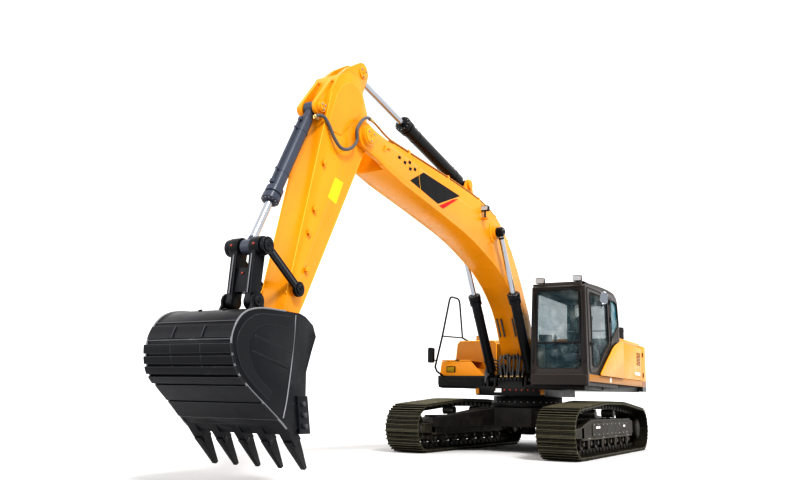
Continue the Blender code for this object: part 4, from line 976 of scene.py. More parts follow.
welds = []
for sx in (-1, 1):
    under = smooth([(-0.76, 1.92), (-1.03, 2.40), (-1.30, 2.69), (-1.66, 2.945), (-2.06, 3.15),
                    (-2.48, 3.295), (-3.31, 3.52), (-4.41, 3.70), (-5.66, 3.88)], 10)
    welds.append(tube([spot(sx * (B - 0.006), y, z + 0.004) for y, z in under], 0.007, 8))
    welds.append(tube([spot(sx * (B - 0.006), y, z - 0.004) for y, z in boom_top], 0.007, 8))
    welds.append(tube([spot(sx * (B + 0.001), y, z)
                       for y, z in ((-5.08, 4.315), (-5.10, 4.06), (-5.02, 3.81))], 0.005, 6))
# The beads take the lighter edge yellow, a painted highlight, with its scratches of wear.
piece("boom_weld_beads", join(*welds), "boom", yellow_edge)
ribs = []
for sx in (-1, 1):
    ribs.append(slab(yz([(-6.12, 4.17), (-6.08, 4.265), (-5.95, 4.265), (-5.96, 4.235), (-6.05, 4.230)]),
                     *sorted((sx * B, sx * (B + 0.02)))))
    ribs.append(turned(spot(sx * B, -2.31, 3.785), (sx, 0, 0),
                       [(-0.01, 0.19), (0.014, 0.19), (0.022, 0.16)], 40))
    ribs.append(turned(spot(sx * B, -0.28, 1.62), (sx, 0, 0), [(-0.01, 0.17), (0.004, 0.17), (0.006, 0.13)],
                       40))
piece("boom_doubler_plates", join(*ribs), "boom", yellow, 0.004, wear_and_highlight=yellow_edge)


def pin_cap(point, x, radius, face=0.02, bolts=3):
    """End of a pin: a grooved disc, a grease nipple and its bolts, at x on the side that x points to."""
    s = math.copysign(1.0, x)
    at = np.array((x, point[1], point[2]))
    disc = turned(at, (s, 0, 0), [(-0.01, radius), (face - 0.006, radius), (face, radius - 0.008),
                                  (face, radius * 0.45), (face - 0.005, radius * 0.42),
                                  (face - 0.005, 0.014)], 28)
    nipple = turned(at, (s, 0, 0), [(face - 0.006, 0.012), (face + 0.008, 0.010), (face + 0.010, 0.005)], 10)
    heads = bolt_heads(ring_places(at + np.array((s * face, 0, 0)), (1, 0, 0), radius * 0.7, bolts, 0.5),
                       (s, 0, 0), 0.011)
    return join(disc, nipple), heads


caps, heads = zip(*[pin_cap(spot(0, -6.55, 4.25), s * 0.306, 0.105) for s in (1, -1)])
piece("elbow_pin_caps", join(*caps), "boom", yellow, 0.002, 1, wear_and_highlight=yellow_edge)
piece("elbow_pin_bolts", join(*heads), "boom", steel)
caps, heads = zip(*[pin_cap(spot(0, -2.31, 3.785), s * 0.430, 0.07) for s in (1, -1)])
piece("boom_cylinder_pin_caps", join(*caps), "boom", plastic, 0.002, 1)
piece("boom_cylinder_pin_bolts", join(*heads), "boom", steel)
bosses = [turned(spot(s * 0.125, -3.05, 4.475), (s, 0, 0), [(-0.01, 0.08), (0.03, 0.08), (0.036, 0.06)], 28)
          for s in (1, -1)]
piece("arm_cylinder_base_pin", join(*bosses), "boom", yellow, 0.002, 1, wear_and_highlight=yellow_edge)

lamp = [slab(rounded((-0.07, 0.07), (-0.045, 0.045), 0.02), 0.0, 0.07, "y")]
stand = [block((-0.012, 0.02, -0.16), (0.012, 0.05, -0.03)),
         block((-0.04, 0.0, -0.175), (0.04, 0.09, -0.155))]
glow = [slab(rounded((-0.06, 0.06), (-0.035, 0.035), 0.015), -0.004, 0.004, "y")]


def lamp_at(place):
    """Frame of a work lamp that looks forwards."""
    return [(spot(*place), (1, 0, 0), (0, 1, 0), (0, 0, 1))]


piece("boom_lamp_case", repeat(join(*lamp, *stand), lamp_at((0.315, -2.85, 4.10))), "boom", plastic, 0.004)
piece("boom_lamp_glass", repeat(join(*glow), lamp_at((0.315, -2.85, 4.10))), "boom", lens)
piece("boom_lamp_bracket", crate((0.25, -2.86, 3.915), (0.36, -2.76, 3.935)), "boom", yellow, 0.003)

A = 0.18
clips = []
for y, z in ((-7.396, 3.669), (-7.551, 3.065), (-7.641, 2.772), (-7.66, 2.33)):
    for sx in (-1, 1):
        clips.append(crate((sx * A, y - 0.035, z - 0.02), (sx * (A + 0.035), y + 0.035, z + 0.02)))
        clips.append(crate((sx * (A + 0.02), y - 0.012, z - 0.045), (sx * (A + 0.032), y + 0.012, z + 0.045)))
piece("arm_hose_clips", join(*clips), "arm", yellow, 0.004, wear_and_highlight=yellow_edge)
sign = slab(yz([(-7.133, 3.559), (-6.953, 3.533), (-7.094, 3.226), (-7.28, 3.273)]), A - 0.002, A + 0.0015)
piece("arm_blank_label", both(sign), "arm", warning_yellow)
edges = []
front_edge = [(-8.00, 2.02), (-7.905, 2.31), (-7.44, 4.02), (-7.27, 4.62)]
rear_edge = [(-7.70, 1.90), (-6.66, 3.76), (-6.46, 4.10)]
for sx in (-1, 1):
    for line in (front_edge, rear_edge):
        edges.append(tube([spot(sx * (A - 0.005), y, z) for y, z in smooth(line, 6)], 0.007, 8))
# The beads take the lighter edge yellow, a painted highlight, with its scratches of wear.
piece("arm_weld_beads", join(*edges), "arm", yellow_edge)
piece("arm_head_doubler", both(slab(yz([(-7.36, 4.12), (-7.18, 4.60), (-7.06, 4.78), (-6.90, 4.88),
                                        (-6.70, 4.88), (-6.56, 4.74), (-6.60, 4.56), (-6.86, 4.30),
                                        (-7.05, 4.12)]), A - 0.002, A + 0.008)), "arm", yellow, 0.004,
      wear_and_highlight=yellow_edge)
caps, heads = zip(*[pin_cap(spot(0, y, z), s * x, r, 0.016) for y, z, x, r in
                    ((-6.50, 5.17, 0.130, 0.085), (-7.44, 4.37, 0.170, 0.055)) for s in (1, -1)])
piece("arm_pin_caps", join(*caps), "arm", yellow, 0.002, 1, wear_and_highlight=yellow_edge)
piece("arm_pin_bolts", join(*heads), "arm", steel)
spacer = [turned(spot(s * 0.205, -7.86, 2.08), (s, 0, 0), [(-0.03, 0.072), (0.006, 0.072), (0.008, 0.05)], 28)
          for s in (1, -1)]
piece("guide_pin_spacers", join(*spacer), "arm", yellow, 0.001, 1)
print("boom and arm dressed")

# %% The hose loop across the elbow
loop = smooth(spots((0.275, -6.50, 4.490), (0.285, -6.60, 4.482), (0.288, -6.72, 4.41), (0.285, -6.835, 4.26),
               (0.27, -6.81, 4.11), (0.255, -6.93, 3.975), (0.24, -7.11, 3.93), (0.225, -7.25, 4.02),
               (0.21, -7.35, 4.155), (0.19, -7.43, 4.235), (0.155, -7.49, 4.245), (0.115, -7.53, 4.22)), 8)
hose = piece("elbow_hose", tube(loop, 0.021, 14), None, hose_grey)
print("hose length", round(float(np.linalg.norm(np.diff(loop, axis=0), axis=1).sum()), 2), "m")
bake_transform(hose)
piece("elbow_hose_fitting", join(bar(loop[0], loop[3], 0.028, 14),
                                 bar(spot(0.27, -6.42, 4.485), spot(0.275, -6.50, 4.490), 0.02, 12)),
      "boom", brass)
ferrules = [bar(loop[-1], loop[-4], 0.028, 14), crate((0.095, -7.53, 4.195), (0.125, -7.45, 4.245))]
piece("arm_hose_fitting", join(*ferrules), "arm", brass, 0.002, 1)

# %% [markdown]
# ## Bucket and linkage
# Below its smooth crown the bucket carries stepped wear strips that protect the rolled plate, and the side
# plates carry a raised border.  Strips follow the frame's own wrapper line: each is the line between two
# arc lengths, given thickness outwards, and as wide as the flare is there.

# %% Bucket details
wrapper = smooth([(-8.20, 1.765), (-8.50, 1.765), (-8.84, 1.755), (-9.06, 1.70), (-9.195, 1.58),
                  (-9.262, 1.40), (-9.205, 1.16), (-9.05, 1.00), (-8.80, 0.82), (-8.56, 0.64),
                  (-8.424, 0.538)], 12)
walked = np.concatenate([[0], np.linalg.norm(np.diff(wrapper, axis=0), axis=1).cumsum()])


def flare(z):
    """Half width of the bucket at a height."""
    t = np.clip((1.75 - np.asarray(z)) / 1.10, 0, 1)
    return 0.53 + 0.125 * t ** 2


def strip(start, end, rise, beyond=0.0, count=9):
    """Plate on the wrapper between two distances along it, standing off by rise."""
    at = np.linspace(start, end, count)
    line = np.stack([np.interp(at, walked, wrapper[:, i]) for i in range(2)], 1)
    slope = np.gradient(line, axis=0)
    slope /= np.linalg.norm(slope, axis=1)[:, None]
    outer = line + rise * np.stack([slope[:, 1], -slope[:, 0]], 1)
    outer = np.concatenate([line[:1], outer, line[-1:]])
    inner = line - 0.012 * np.stack([slope[:, 1], -slope[:, 0]], 1)
    ring = np.concatenate([outer, inner[::-1]])
    w = flare(ring[:, 1]) + beyond
    n = len(ring)
    points = np.concatenate([np.stack([s * w, ring[:, 0] + swing[1], ring[:, 1]], 1) for s in (-1, 1)])
    faces = [(i, (i + 1) % n, n + (i + 1) % n, n + i) for i in range(n)]
    caps = [tuple(range(n))[::-1], tuple(range(n, 2 * n))]
    return points, faces + caps


def at_height(z):
    """Distance along the wrapper where it passes a height on the outer side."""
    low_part = np.arange(len(wrapper)) > 20
    order = np.argsort(wrapper[low_part, 1])
    return float(np.interp(z, wrapper[low_part, 1][order], walked[low_part][order]))


bands = [(1.56, 1.44, 0.010, 0.0), (1.385, 1.30, 0.026, 0.012), (1.275, 1.205, 0.026, 0.012),
         (1.18, 1.115, 0.026, 0.012), (1.09, 1.03, 0.024, 0.010), (1.005, 0.86, 0.012, 0.004),
         (0.845, 0.70, 0.012, 0.004)]
strips = [strip(at_height(a), at_height(b), rise, beyond) for a, b, rise, beyond in bands]
piece("bucket_wear_strips", join(*strips), "bucket", charcoal, 0.003, wear_and_highlight=charcoal_edge_highlight_and_wear)
seams = [strip(at_height(z) - 0.006, at_height(z) + 0.006, 0.007, 0.0, 3) for z in (1.60, 1.425, 0.69)]
ladder = []
for x in (-0.20, 0.18):
    for a, b in ((1.565, 1.445), (1.385, 1.30), (1.275, 1.205), (1.18, 1.115)):
        s0, s1 = at_height(a), at_height(b)
        mid = np.array([[np.interp(s, walked, wrapper[:, i]) for i in range(2)]
                        for s in np.linspace(s0, s1, 4)])
        ladder.append(tube([spot(x, y - 0.022, z) for y, z in mid], 0.006, 6))
piece("bucket_weld_seams", join(*seams, *ladder), "bucket", charcoal_edge_highlight_and_wear)


def side_plate(outline, depth, back=0.01):
    """Outline on both side plates, which lean out with the flare."""
    shapes = []
    for s in (-1, 1):
        o = np.array(outline, float)
        w = flare(o[:, 1])
        n = len(o)
        points = np.concatenate([np.stack([s * (w + d), o[:, 0] + swing[1], o[:, 1]], 1)
                                 for d in (-back, depth)])
        faces = [(i, (i + 1) % n, n + (i + 1) % n, n + i) for i in range(n)]
        shapes.append((points, faces + [tuple(range(n))[::-1], tuple(range(n, 2 * n))]))
    return join(*shapes)


rim_line = np.concatenate([smooth([(-8.36, 1.72), (-8.84, 1.70), (-9.02, 1.64), (-9.14, 1.53), (-9.20, 1.39),
                                   (-9.15, 1.19), (-9.00, 1.04), (-8.76, 0.87)], 5),
                           smooth([(-8.70, 0.95), (-8.88, 1.08), (-8.98, 1.20), (-9.03, 1.37), (-8.98, 1.48),
                                   (-8.88, 1.56), (-8.72, 1.60), (-8.40, 1.60)], 5)])
piece("bucket_side_borders", side_plate(rim_line, 0.010), "bucket", charcoal, 0.003, wear_and_highlight=charcoal_edge_highlight_and_wear)
piece("bucket_side_ribs", join(side_plate([(-8.92, 1.49), (-8.93, 1.472), (-8.36, 1.335), (-8.35, 1.353)],
                                          0.008), side_plate([(-8.96, 1.338), (-8.965, 1.32),
                                                              (-8.41, 1.185), (-8.40, 1.203)], 0.008)),
      "bucket", charcoal, 0.002, wear_and_highlight=charcoal_edge_highlight_and_wear)
seam = smooth([(-8.28, 1.74), (-8.30, 1.50), (-8.36, 1.20), (-8.46, 0.90), (-8.56, 0.70)], 8)
beads = []
for s in (-1, 1):
    beads.append(tube([spot(s * (float(flare(z)) + 0.001), y, z) for y, z in seam], 0.009, 8))
    beads.append(tube([spot(s * (float(flare(z)) - 0.004), y, z) for y, z in wrapper[10:-8]], 0.010, 8))
piece("bucket_weld_beads", join(*beads), "bucket", weld_grey)
holes = [turned(spot(x, -8.95, 1.7385), (0.0, -0.28, 0.96),
                [(0.0, 0.020), (0.0125, 0.020), (0.0125, 0.012)], 18) for x in (-0.16, 0.16)]
piece("bucket_crown_plugs", join(*holes), "bucket", black)
studs = []
for s in (-1, 1):
    for z in (0.62, 0.73, 0.84):
        studs.append(turned(spot(s * (float(flare(z)) + 0.022), -8.23, z), (s, 0, 0),
                            [(-0.02, 0.026), (0.018, 0.026), (0.026, 0.018)], 14))
piece("side_cutter_bolts", join(*studs), "bucket", charcoal_edge_highlight_and_wear)
collar = [tube(spots((x - 0.056, -8.345, 0.475), (x + 0.056, -8.345, 0.475)), 0.020, 8)
          for x in (-0.585, -0.297, 0.0, 0.297, 0.585)]
piece("tooth_keepers", join(*collar), "bucket", charcoal_edge_highlight_and_wear, 0.002, 1)
print(len(strips), "wear strips,", len(studs), "cutter bolts")

# %% Linkage
for s, word in ((1, "left"), (-1, "right")):
    disc, bolts = zip(*[pin_cap(spot(0, y, z), s * 0.262, r, 0.016) for y, z, r in
                        ((-7.86, 2.08, 0.062), (-8.45, 2.47, 0.072))])
    piece(f"guide_link_{word}_caps", join(*disc, *bolts), f"guide_link_{word}", charcoal, 0.002, 1,
          wear_and_highlight=charcoal_edge_highlight_and_wear)
    rib = slab(yz([(-7.93, 2.115), (-8.39, 2.42), (-8.375, 2.44), (-7.915, 2.138)]),
               *sorted((s * 0.255, s * 0.262)))
    piece(f"guide_link_{word}_rib", rib, f"guide_link_{word}", charcoal_edge_highlight_and_wear, 0.002, 1)
link_axis = np.array((0.0, -8.505 + 8.45, 1.872 - 2.47))
link_axis /= np.linalg.norm(link_axis)
out = np.array((0.0, link_axis[2], -link_axis[1]))
head = spot(0, -8.45, 2.47)
beads = [tube([head + link_axis * a + out * 0.087 + np.array((x, 0, 0)) for a in (0.10, 0.3, 0.52)], 0.007, 8)
         for x in (-0.122, 0.122)]
nuts = [turned(head + link_axis * a + out * r + np.array((x, 0, 0)), out,
               [(-0.012, 0.013), (0.014, 0.013), (0.018, 0.008)], 12)
        for a, r, x in ((0.0, 0.102, -0.15), (0.0, 0.102, 0.15), (0.30, 0.048, 0.0))]
piece("bucket_link_nipples", join(*nuts), "bucket_link", nipple_red)
piece("bucket_link_welds", join(*beads), "bucket_link", weld_grey)
ear_caps, ear_bolts = zip(*[pin_cap(spot(0, y, z), s * 0.211, r, 0.014) for y, z, r in
                            ((-8.505, 1.872, 0.06), (-7.95, 1.68, 0.075)) for s in (1, -1)])
piece("bucket_pin_caps", join(*ear_caps, *ear_bolts), "bucket", charcoal, 0.002, 1, wear_and_highlight=charcoal_edge_highlight_and_wear)
print("linkage dressed")

# %% [markdown]
# ## Cab
# The cab leans in a little towards its roof, so everything fixed to its sides is built upright and then
# leaned by the same rule as the shell: x moves towards the cab's middle in proportion to the height.
# Rubber seals run round every pane as closed tubes, and the front glass has its divider, wiper and latches.

# %% Cab outside
mid = 1.055


def leaned(shape):
    """Cab part leaned in with the shell: the side planes draw in as they rise."""
    points, faces = shape
    share = 1 - 0.04 / 0.52 * (points[:, 2:] - 1.21) / 1.82
    return np.concatenate([mid + (points[:, :1] - mid) * share, points[:, 1:]], 1), faces


def ring_tube(outline, radius, sides=8):
    """Closed tube round an outline of points."""
    line = np.array(outline, float)
    n = len(line)
    along = np.roll(line, -1, 0) - np.roll(line, 1, 0)
    along /= np.linalg.norm(along, axis=1)[:, None]
    flat = np.linalg.svd(line - line.mean(0))[2][-1]
    u = np.cross(along, flat)
    t = np.linspace(0, 2 * np.pi, sides, endpoint=False)
    points = line[:, None] + radius * (np.cos(t)[None, :, None] * u[:, None] + np.sin(t)[None, :, None]
                                       * flat)
    i = np.arange(n)[:, None]
    j = np.arange(sides)[None, :]
    faces = np.stack([i * sides + j, i * sides + (j + 1) % sides, (i + 1) % n * sides + (j + 1) % sides,
                      (i + 1) % n * sides + j], -1).reshape(-1, 4)
    return points.reshape(-1, 3), faces.tolist()


def on_side(outline, x):
    """Side outline softened at its corners and placed at x."""
    o = np.array(outline, float)
    before, after = np.roll(o, 1, 0), np.roll(o, -1, 0)
    cut = [np.minimum(0.08 / np.linalg.norm(p - o, axis=1), 0.45)[:, None] for p in (before, after)]
    a, b = o + (before - o) * cut[0], o + (after - o) * cut[1]
    t = np.linspace(0, 1, 5)[None, :, None]
    line = ((1 - t) ** 2 * a[:, None] + 2 * t * (1 - t) * o[:, None] + t ** 2 * b[:, None]).reshape(-1, 2)
    return [spot(x, y, z) for y, z in line]


front_pane = [spot(x, -1.292, z) for x, z in rounded((0.645, 1.465), (1.49, 2.88), 0.09, 7)]
door_line = [(-0.97, 1.55), (-0.63, 1.55), (-0.38, 1.705), (0.16, 2.01), (0.16, 2.86), (-0.97, 2.86)]
way_line = [(-1.17, 1.43), (-0.69, 1.43), (-0.34, 1.645), (0.31, 2.005), (0.31, 2.93), (-1.17, 2.93)]
quarter_line = [(0.42, 2.12), (0.93, 2.42), (0.90, 2.80), (0.80, 2.87), (0.42, 2.87)]
seals = [ring_tube(front_pane, 0.014), ring_tube(on_side(quarter_line, mid + 0.515), 0.011),
         ring_tube([spot(x, 0.975, z) for x, z in rounded((0.655, 1.455), (2.05, 2.84), 0.08, 7)], 0.012),
         ring_tube([spot(mid - 0.515, y, z) for y, z in rounded((-1.10, 0.80), (1.90, 2.86), 0.08, 7)],
                   0.012), crate((0.655, -1.290, 1.928), (1.455, -1.268, 1.958))]
piece("cab_window_seals", leaned(join(*seals)), "house", rubber)
piece("door_window_seal", leaned(ring_tube(on_side(door_line, mid + 0.521), 0.011)), "door", rubber)
trim = [crate((0.575, -1.338, 2.955), (1.535, -1.270, 2.985)),
        slab([(x, z) for x, z in rounded((0.548, 1.562), (1.222, 1.395), 0.045)], -1.322 + swing[1],
             -1.30 + swing[1], "y"), slab([(x, z) for x, z in rounded((0.60, 1.51), (3.022, 3.040), 0.008)],
                                          -1.10 + swing[1], 0.70 + swing[1], "y"),
        slab([(x, y + swing[1]) for x, y in rounded((0.80, 1.31), (-0.55, 0.0), 0.05)], 3.03, 3.062, "z")]
piece("cab_trim", leaned(join(*trim)), "house", cab_paint, 0.006, wear_and_highlight=cab_edge)
rails = [tube(smooth(spots((0.585, -1.30, 1.62), (0.585, -1.345, 1.66), (0.588, -1.348, 2.2),
                      (0.592, -1.345, 2.78), (0.592, -1.30, 2.82)), 6), 0.013),
         tube(smooth(spots((1.528, -1.30, 1.62), (1.530, -1.34, 1.66), (1.526, -1.342, 2.2),
                      (1.520, -1.34, 2.78), (1.518, -1.30, 2.82)), 6), 0.013)]
piece("cab_grab_rails", leaned(join(*rails)), "house", plastic)
wiper = [bar(spot(1.38, -1.298, 1.52), spot(1.38, -1.325, 1.52), 0.02),
         tube(spots((1.38, -1.318, 1.52), (1.42, -1.308, 1.82)), 0.006),
         crate((1.412, -1.302, 1.55), (1.424, -1.294, 2.10)),
         bar(spot(1.41, -1.285, 1.89), spot(1.41, -1.30, 1.89), 0.018),
         bar(spot(0.70, -1.285, 1.89), spot(0.70, -1.30, 1.89), 0.018),
         bar(spot(1.30, 0.50, 3.04), spot(1.30, 0.50, 3.07), 0.02),
         tube(spots((1.30, 0.50, 3.06), (1.31, 0.53, 3.38)), 0.004, 6)]
piece("cab_wiper_and_antenna", leaned(join(*wiper)), "house", plastic)
handle = [crate((1.580, -1.07, 1.90), (1.592, -0.93, 1.97)),
          tube(smooth(spots((1.59, -1.05, 1.935), (1.618, -1.03, 1.935), (1.618, -0.97, 1.935),
                            (1.59, -0.95, 1.935)), 4), 0.009)]
piece("cab_door_handle", leaned(join(*handle)), "door", plastic, 0.002, 1)
hinge = [join(bar(spot(1.583, 0.335, z - 0.05), spot(1.583, 0.335, z + 0.05), 0.013, 14),
              crate((1.565, 0.34, z - 0.04), (1.583, 0.40, z + 0.04))) for z in (2.12, 2.48, 2.82)]
piece("cab_door_hinges", leaned(join(*hinge)), "house", black, 0.002, 1)
gap = ring_tube(on_side(way_line, mid + 0.5225), 0.006, 6)
piece("door_gap_seal", leaned(gap), "house", rubber)

cases, rims, lights = [], [], []
for place in ((0.684, -1.17, 3.075), (1.375, -1.17, 3.092)):
    cases.append(repeat(join(slab(rounded((-0.078, 0.078), (-0.052, 0.052), 0.02), 0.0, 0.07, "y"),
                             block((-0.012, 0.02, -0.10), (0.012, 0.05, -0.04))), lamp_at(place)))
    rims.append(repeat(ring_tube([(a, -0.002, b) for a, b in rounded((-0.073, 0.073), (-0.047, 0.047),
                                                                     0.018)], 0.008), lamp_at(place)))
    lights.append(repeat(slab(rounded((-0.068, 0.068), (-0.042, 0.042), 0.015), -0.004, 0.003, "y"),
                         lamp_at(place)))
piece("roof_lamp_cases", join(*cases), "house", plastic, 0.003)
piece("roof_lamp_rims", join(*rims), "house", chrome)
piece("roof_lamp_glass", join(*lights), "house", lens)

u = np.array((0.94, 0.34, 0.0))
w = np.array((0.34, -0.94, 0.0))
face = turned((0, 0, 0), (0, 0, 1), [(-0.030, 0.035), (-0.022, 0.080), (-0.006, 0.098), (0.0, 0.098),
                                     (0.0, 0.090)], 36)
glassy = turned((0, 0, 0), (0, 0, 1), [(-0.003, 0.090), (0.0015, 0.088)], 36)
rim = ring_tube([(0.095 * math.cos(t), 0.095 * math.sin(t), 0.0)
                 for t in np.linspace(0, 2 * np.pi, 36, endpoint=False)], 0.007)
m_low, m_high = low("door_mirror"), high("door_mirror")
centre = np.array((m_high[0] - 0.035, (m_low[1] + m_high[1]) / 2, (m_low[2] + m_high[2]) / 2 + 0.01))
place = [(centre, u * 0.75, np.array((0, 0, 1.15)), w)]
arm_path = smooth([centre - w * 0.028, centre + (-0.03, 0.03, -0.10),
                   (mid + 0.515, centre[1] + 0.02, centre[2] - 0.17)], 6)
piece("door_mirror_shell", join(repeat(face, place), tube(arm_path, 0.010)), "door", plastic,
      replaces=("door_mirror",))
piece("door_mirror_rim", repeat(rim, place), "door", chrome)
piece("door_mirror_glass", repeat(glassy, place), "door", mirror_glass)
print("cab outside dressed")

# %% Cab inside
panel = [crate((0.62, -1.18, 2.948), (1.49, 0.88, 2.958)), crate((0.64, -1.20, 2.885), (1.47, -1.10, 2.948)),
         crate((0.63, 0.905, 1.50), (1.48, 0.918, 2.04)), crate((0.600, 0.82, 1.50), (0.612, 0.90, 2.90)),
         crate((0.594, -1.10, 1.44), (0.606, 0.90, 1.88))]
piece("cab_headliner", leaned(join(*panel)), "house", lining, 0.003, 1)
mat = crate((0.66, -1.14, 1.4215), (1.45, 0.70, 1.432))
piece("cab_floor_mat", mat, "house", rubber, 0.003, 1)
inside = [slab(rounded((-0.115, 0.115), (-0.085, 0.085), 0.02), -0.02, 0.02, "y"),
          block((-0.015, 0.0, -0.55), (0.015, 0.025, -0.08))]
lean_back = [(spot(0.74, -1.06, 2.02), (0.92, 0.38, 0), (-0.36, 0.88, 0.3), (0.1, -0.3, 0.95))]
piece("monitor_case", repeat(join(*inside), lean_back), "house", plastic, 0.004)
piece("monitor_screen", repeat(slab(rounded((-0.098, 0.098), (-0.068, 0.068), 0.012), 0.0205, 0.022, "y"),
                               lean_back), "house", decal_black)
pedals = []
for x in (0.93, 1.06, 1.20, 1.32):
    pedals.append(crate((x - 0.045, -1.03, 1.56), (x + 0.045, -0.90, 1.572)))
    pedals.append(tube(spots((x, -0.98, 1.44), (x, -1.0, 1.57), (x, -1.03, 1.78)), 0.011))
    pedals.append(turned(spot(x, -1.035, 1.78), (0, -0.1, 1),
                         [(0, 0.012), (0.012, 0.026), (0.05, 0.026), (0.062, 0.012)], 16))
piece("travel_pedals", join(*pedals), "house", plastic, 0.003, 1)
sticks = []
for s in (-1, 1):
    base = spot(mid + s * 0.33, -0.47, 1.93)
    sticks.append(turned(base, (0, 0, 1), [(0, 0.055), (0.015, 0.05), (0.03, 0.035), (0.04, 0.04),
                                           (0.055, 0.026), (0.065, 0.03), (0.08, 0.018), (0.11, 0.017),
                                           (0.13, 0.026), (0.19, 0.028), (0.215, 0.020)], 24))
piece("joystick_boots", join(*sticks), "house", rubber)
bars = [tube(smooth(spots((mid - 0.13, 0.235, 2.54), (mid - 0.15, 0.24, 2.72), (mid - 0.09, 0.24, 2.775),
                          (mid + 0.09, 0.24, 2.775), (mid + 0.15, 0.24, 2.72), (mid + 0.13, 0.235, 2.54)),
                    6), 0.018, 12), bar(spot(0.63, 0.60, 2.30), spot(1.48, 0.60, 2.30), 0.012)]
piece("headrest_frame", join(*bars), "house", plate_white)


def baked(obj):
    """Replaces the mesh by what its modifiers make of it."""
    made = bpy.data.meshes.new_from_object(obj.evaluated_get(bpy.context.evaluated_depsgraph_get()))
    old, obj.data = obj.data, made
    obj.modifiers.clear()
    bpy.data.meshes.remove(old)


def cushion(name, node, cap, draw_in=0.008):
    """Pad blown up as cloth: its points move outwards by at most cap."""
    source = frame["nodes"][node]
    mesh = source.data.copy()
    mesh.name = name
    obj = bpy.data.objects.new(name, mesh)
    bpy.context.scene.collection.objects.link(obj)
    bm = bmesh.new()
    bm.from_mesh(mesh)
    settle(bm)
    bm.to_mesh(mesh)
    bm.free()
    at = np.array([v.co for v in mesh.vertices])
    middle = (at.min(0) + at.max(0)) / 2
    size = at.max(0) - at.min(0)
    mesh.vertices.foreach_set("co", (middle + (at - middle) * (1 - 2 * draw_in / size)).ravel())
    remesh = obj.modifiers.new("even", "REMESH")
    remesh.mode, remesh.voxel_size = "VOXEL", 0.006
    baked(obj)
    rest = np.array([v.co for v in obj.data.vertices])
    cloth = obj.modifiers.new("puffed", "CLOTH")
    cloth.settings.use_pressure = True
    cloth.settings.uniform_pressure_force = 4.0
    cloth.settings.effector_weights.gravity = 0.0
    for k in range(1, 21):
        bpy.context.scene.frame_set(k)
    baked(obj)
    bpy.context.scene.frame_set(1)
    now = np.array([v.co for v in obj.data.vertices])
    move = now - rest
    length = np.linalg.norm(move, axis=1)[:, None]
    move *= np.minimum(1.0, cap / np.maximum(length, 1e-9))
    obj.data.vertices.foreach_set("co", (rest + move).ravel())
    obj.data.update()
    dress(obj, source["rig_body"], seat_cloth, replaces=(node,))
    obj.data.shade_smooth()
    rounder = obj.modifiers.new("smoother", "SUBSURF")
    rounder.levels = rounder.render_levels = 1
    return obj


cushion("seat_cushion_pad", "seat_cushion", 0.024)
cushion("seat_back_pad", "seat_back", 0.024)
print("cab inside dressed")

# %% [markdown]
# ## House and deck
# Doors and covers get what makes them open: gaps, latches, hinges and louvres.  In front of the boom foot
# the control valve shows its ports, and a bundle of hoses climbs from it to the boom's steel lines; each
# hose leaves square to its port and ends square to its fitting.

# %% House details
vents = [crate((1.574, y - 0.055, z), (1.583, y + 0.055, z + 0.014)) for y in (2.34, 2.50)
         for z in np.linspace(1.72, 1.96, 9)]
latch = [slab(yz(rounded((1.09, 1.17), (1.732, 1.788), 0.01)), 1.574, 1.582)]
piece("left_door_louvres", join(*vents, *latch), "left_engine_door", plastic, 0.002, 1)
piece("right_door_louvres", mirrored(join(*vents, *latch)), "right_engine_door", plastic, 0.002, 1)
label = slab(yz([(2.10, 1.505), (2.56, 1.505), (2.56, 1.565), (2.10, 1.565)]), 1.574, 1.5765)
piece("left_door_blank_plate", label, "left_engine_door", plate_white)
piece("sill_reflector", slab(yz([(0.10, 1.30), (0.20, 1.30), (0.20, 1.385), (0.10, 1.385)]), 1.574, 1.5775),
      "house", plate_white)
hinge = [bar(spot(1.600, 2.735, z - 0.05), spot(1.600, 2.735, z + 0.05), 0.010, 12) for z in (1.52, 1.95)]
piece("engine_door_hinges", both(join(*hinge)), "house", black)
openings = [crate((a - 0.17, 1.25 + k * 0.055, 2.188), (a + 0.17, 1.268 + k * 0.055, 2.197))
            for a in (-1.15, 0.35) for k in range(12)]
piece("hood_slots", join(*openings), "hood", plastic, 0.002, 1)
cap_shape = [turned(spot(-1.02, 0.0, 2.165), (0, 0, 1),
                    [(0, 0.05), (0.006, 0.062), (0.03, 0.062), (0.038, 0.05)], 28)]
piece("fuel_cap", join(*cap_shape), "house", amber, 0.002, 1)
studs = bolt_heads([spot(a, 0.86, 2.10) for a in (-1.44, -1.10, -0.75)], (0, 0, 1), 0.012)
piece("tank_bolts", studs, "house", steel)
eyes = []
for s in (-1, 1):
    eyes.append(slab(yz(((2.92, 2.13), (2.95, 2.19), (2.99, 2.21), (3.03, 2.19), (3.06, 2.13))),
                     s * 0.95 - 0.012, s * 0.95 + 0.012))
piece("counterweight_lifting_eyes", join(*eyes), "house", yellow, 0.003, wear_and_highlight=yellow_edge)
lamps = [slab(rounded((s * 1.25 - 0.07, s * 1.25 + 0.07), (1.32, 1.39), 0.015), 3.40 + swing[1],
              3.462 + swing[1], "y") for s in (-1, 1)]
piece("tail_lamps", join(*lamps), "house", red_lens, 0.003)
top = (low("air_cleaner") + high("air_cleaner")) / 2
lid = turned((top[0], top[1], high("air_cleaner")[2] - 0.02), (0, 0, 1),
             [(-0.07, 0.157), (-0.05, 0.163), (-0.03, 0.157), (0.0, 0.158), (0.012, 0.150), (0.018, 0.12)],
             36)
piece("air_cleaner_lid", lid, "house", plastic)
vent = [crate((-1.40, -0.716, 1.447), (-1.22, -0.700, 1.56))]
piece("toolbox_vent", join(*vent), "house", decal_black, 0.002, 1)
slat = [crate((-1.388, -0.721, z), (-1.232, -0.714, z + 0.010)) for z in np.linspace(1.465, 1.535, 4)]
piece("toolbox_slats", join(*slat), "house", warning_yellow)
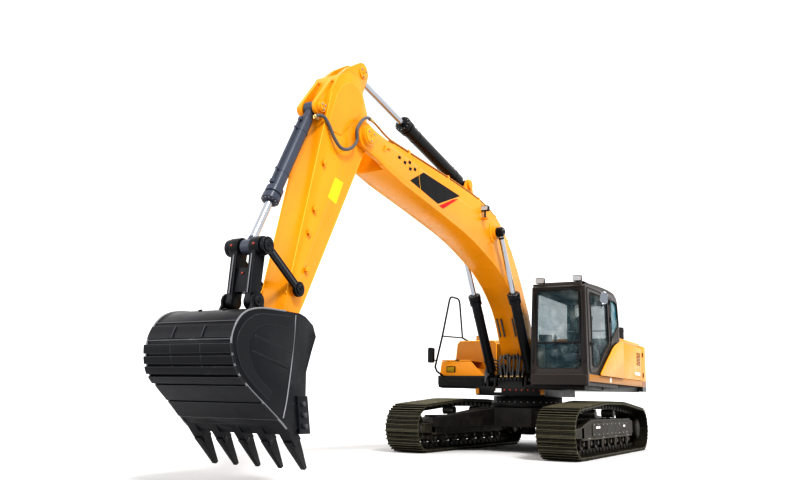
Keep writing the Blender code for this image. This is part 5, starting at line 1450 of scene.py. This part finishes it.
piece("toolbox_latch", crate((-1.22, -0.725, 1.672), (-1.14, -0.70, 1.69)), "house", plastic, 0.003)
skirt = [slab([(x, z) for x, z in rounded((-1.53, -0.62), (1.19, 1.36), 0.03)], -0.739 + swing[1],
              -0.724 + swing[1], "y"), crate((-1.36, -0.745, 1.262), (-0.95, -0.735, 1.282))]
piece("deck_front_skirt", join(*skirt), "house", black, 0.004, wear_and_highlight=black_edge_highlight_and_wear)
piece("blank_front_plate", crate((-0.30, -0.958, 1.075), (-0.16, -0.949, 1.145)), "house", plate_white)
brackets = [crate((s * 0.60, -0.985, 1.04), (s * 0.665, -0.90, 1.14)) for s in (-1, 1)]
piece("deck_brackets", join(*brackets), "house", amber, 0.004)
frontal = [spot(a, -0.952, 1.12) for a in np.linspace(-0.10, 0.58, 7)]
piece("deck_front_bolts", bolt_heads(frontal, (0, -1, 0), 0.014, 0.014), "house", nipple_red)
print("house dressed")

# %% Hoses at the boom foot
valve = [crate((-0.235, -0.945, 1.285), (0.235, -0.56, 1.335)),
         crate((-0.20, -0.90, 1.33), (0.20, -0.62, 1.355))]
valve += [bar(spot(a, -0.94, 1.312), spot(a, -0.985, 1.312), 0.020, 14) for a in np.linspace(-0.19, 0.19, 6)]
piece("control_valve", join(*valve), "house", black, 0.004, wear_and_highlight=black_edge_highlight_and_wear)
hoses, nuts = [], []
for k, a in enumerate(np.linspace(-0.20, 0.20, 8)):
    start = spot(a, -0.86 + 0.05 * (k % 2), 1.355)
    rise = spot(a * 1.15, -0.86 + 0.04 * (k % 3), 1.60 + 0.03 * (k % 2))
    bend = spot(a * 1.1, -0.80, 1.74 + 0.02 * (k % 3))
    end = spot(a * 0.9, -0.66, 1.70)
    hoses.append(tube(smooth([start, start + (0, 0, 0.05), rise, bend, end], 8), 0.017, 10))
    nuts.append(bar(start, start + (0, 0, 0.028), 0.024, 12))
for k, z in enumerate((1.47, 1.53, 1.59, 1.65)):
    hoses.append(tube(smooth(spots((0.30, -0.74, z), (0.36, -0.84, z + 0.02), (0.44, -0.90, z - 0.06),
                                   (0.50, -0.90, z - 0.2), (0.505, -0.86, 1.24)), 8), 0.014, 10))
    hoses.append(mirrored(hoses[-1]))
piece("boom_foot_hoses", join(*hoses), "house", hose_grey)
piece("boom_foot_fittings", join(*nuts), "house", brass)
sheaf = []
for k, a in enumerate((-0.19, -0.11, 0.11, 0.19)):
    sheaf.append(tube(smooth(spots((a, -0.90, 2.10), (a, -0.955, 2.19), (a, -1.02, 2.30), (a, -1.09, 2.41)),
                             6), 0.016, 10))
piece("boom_belly_hoses", join(*sheaf), "boom", hose_grey)
print("hoses at the boom foot")
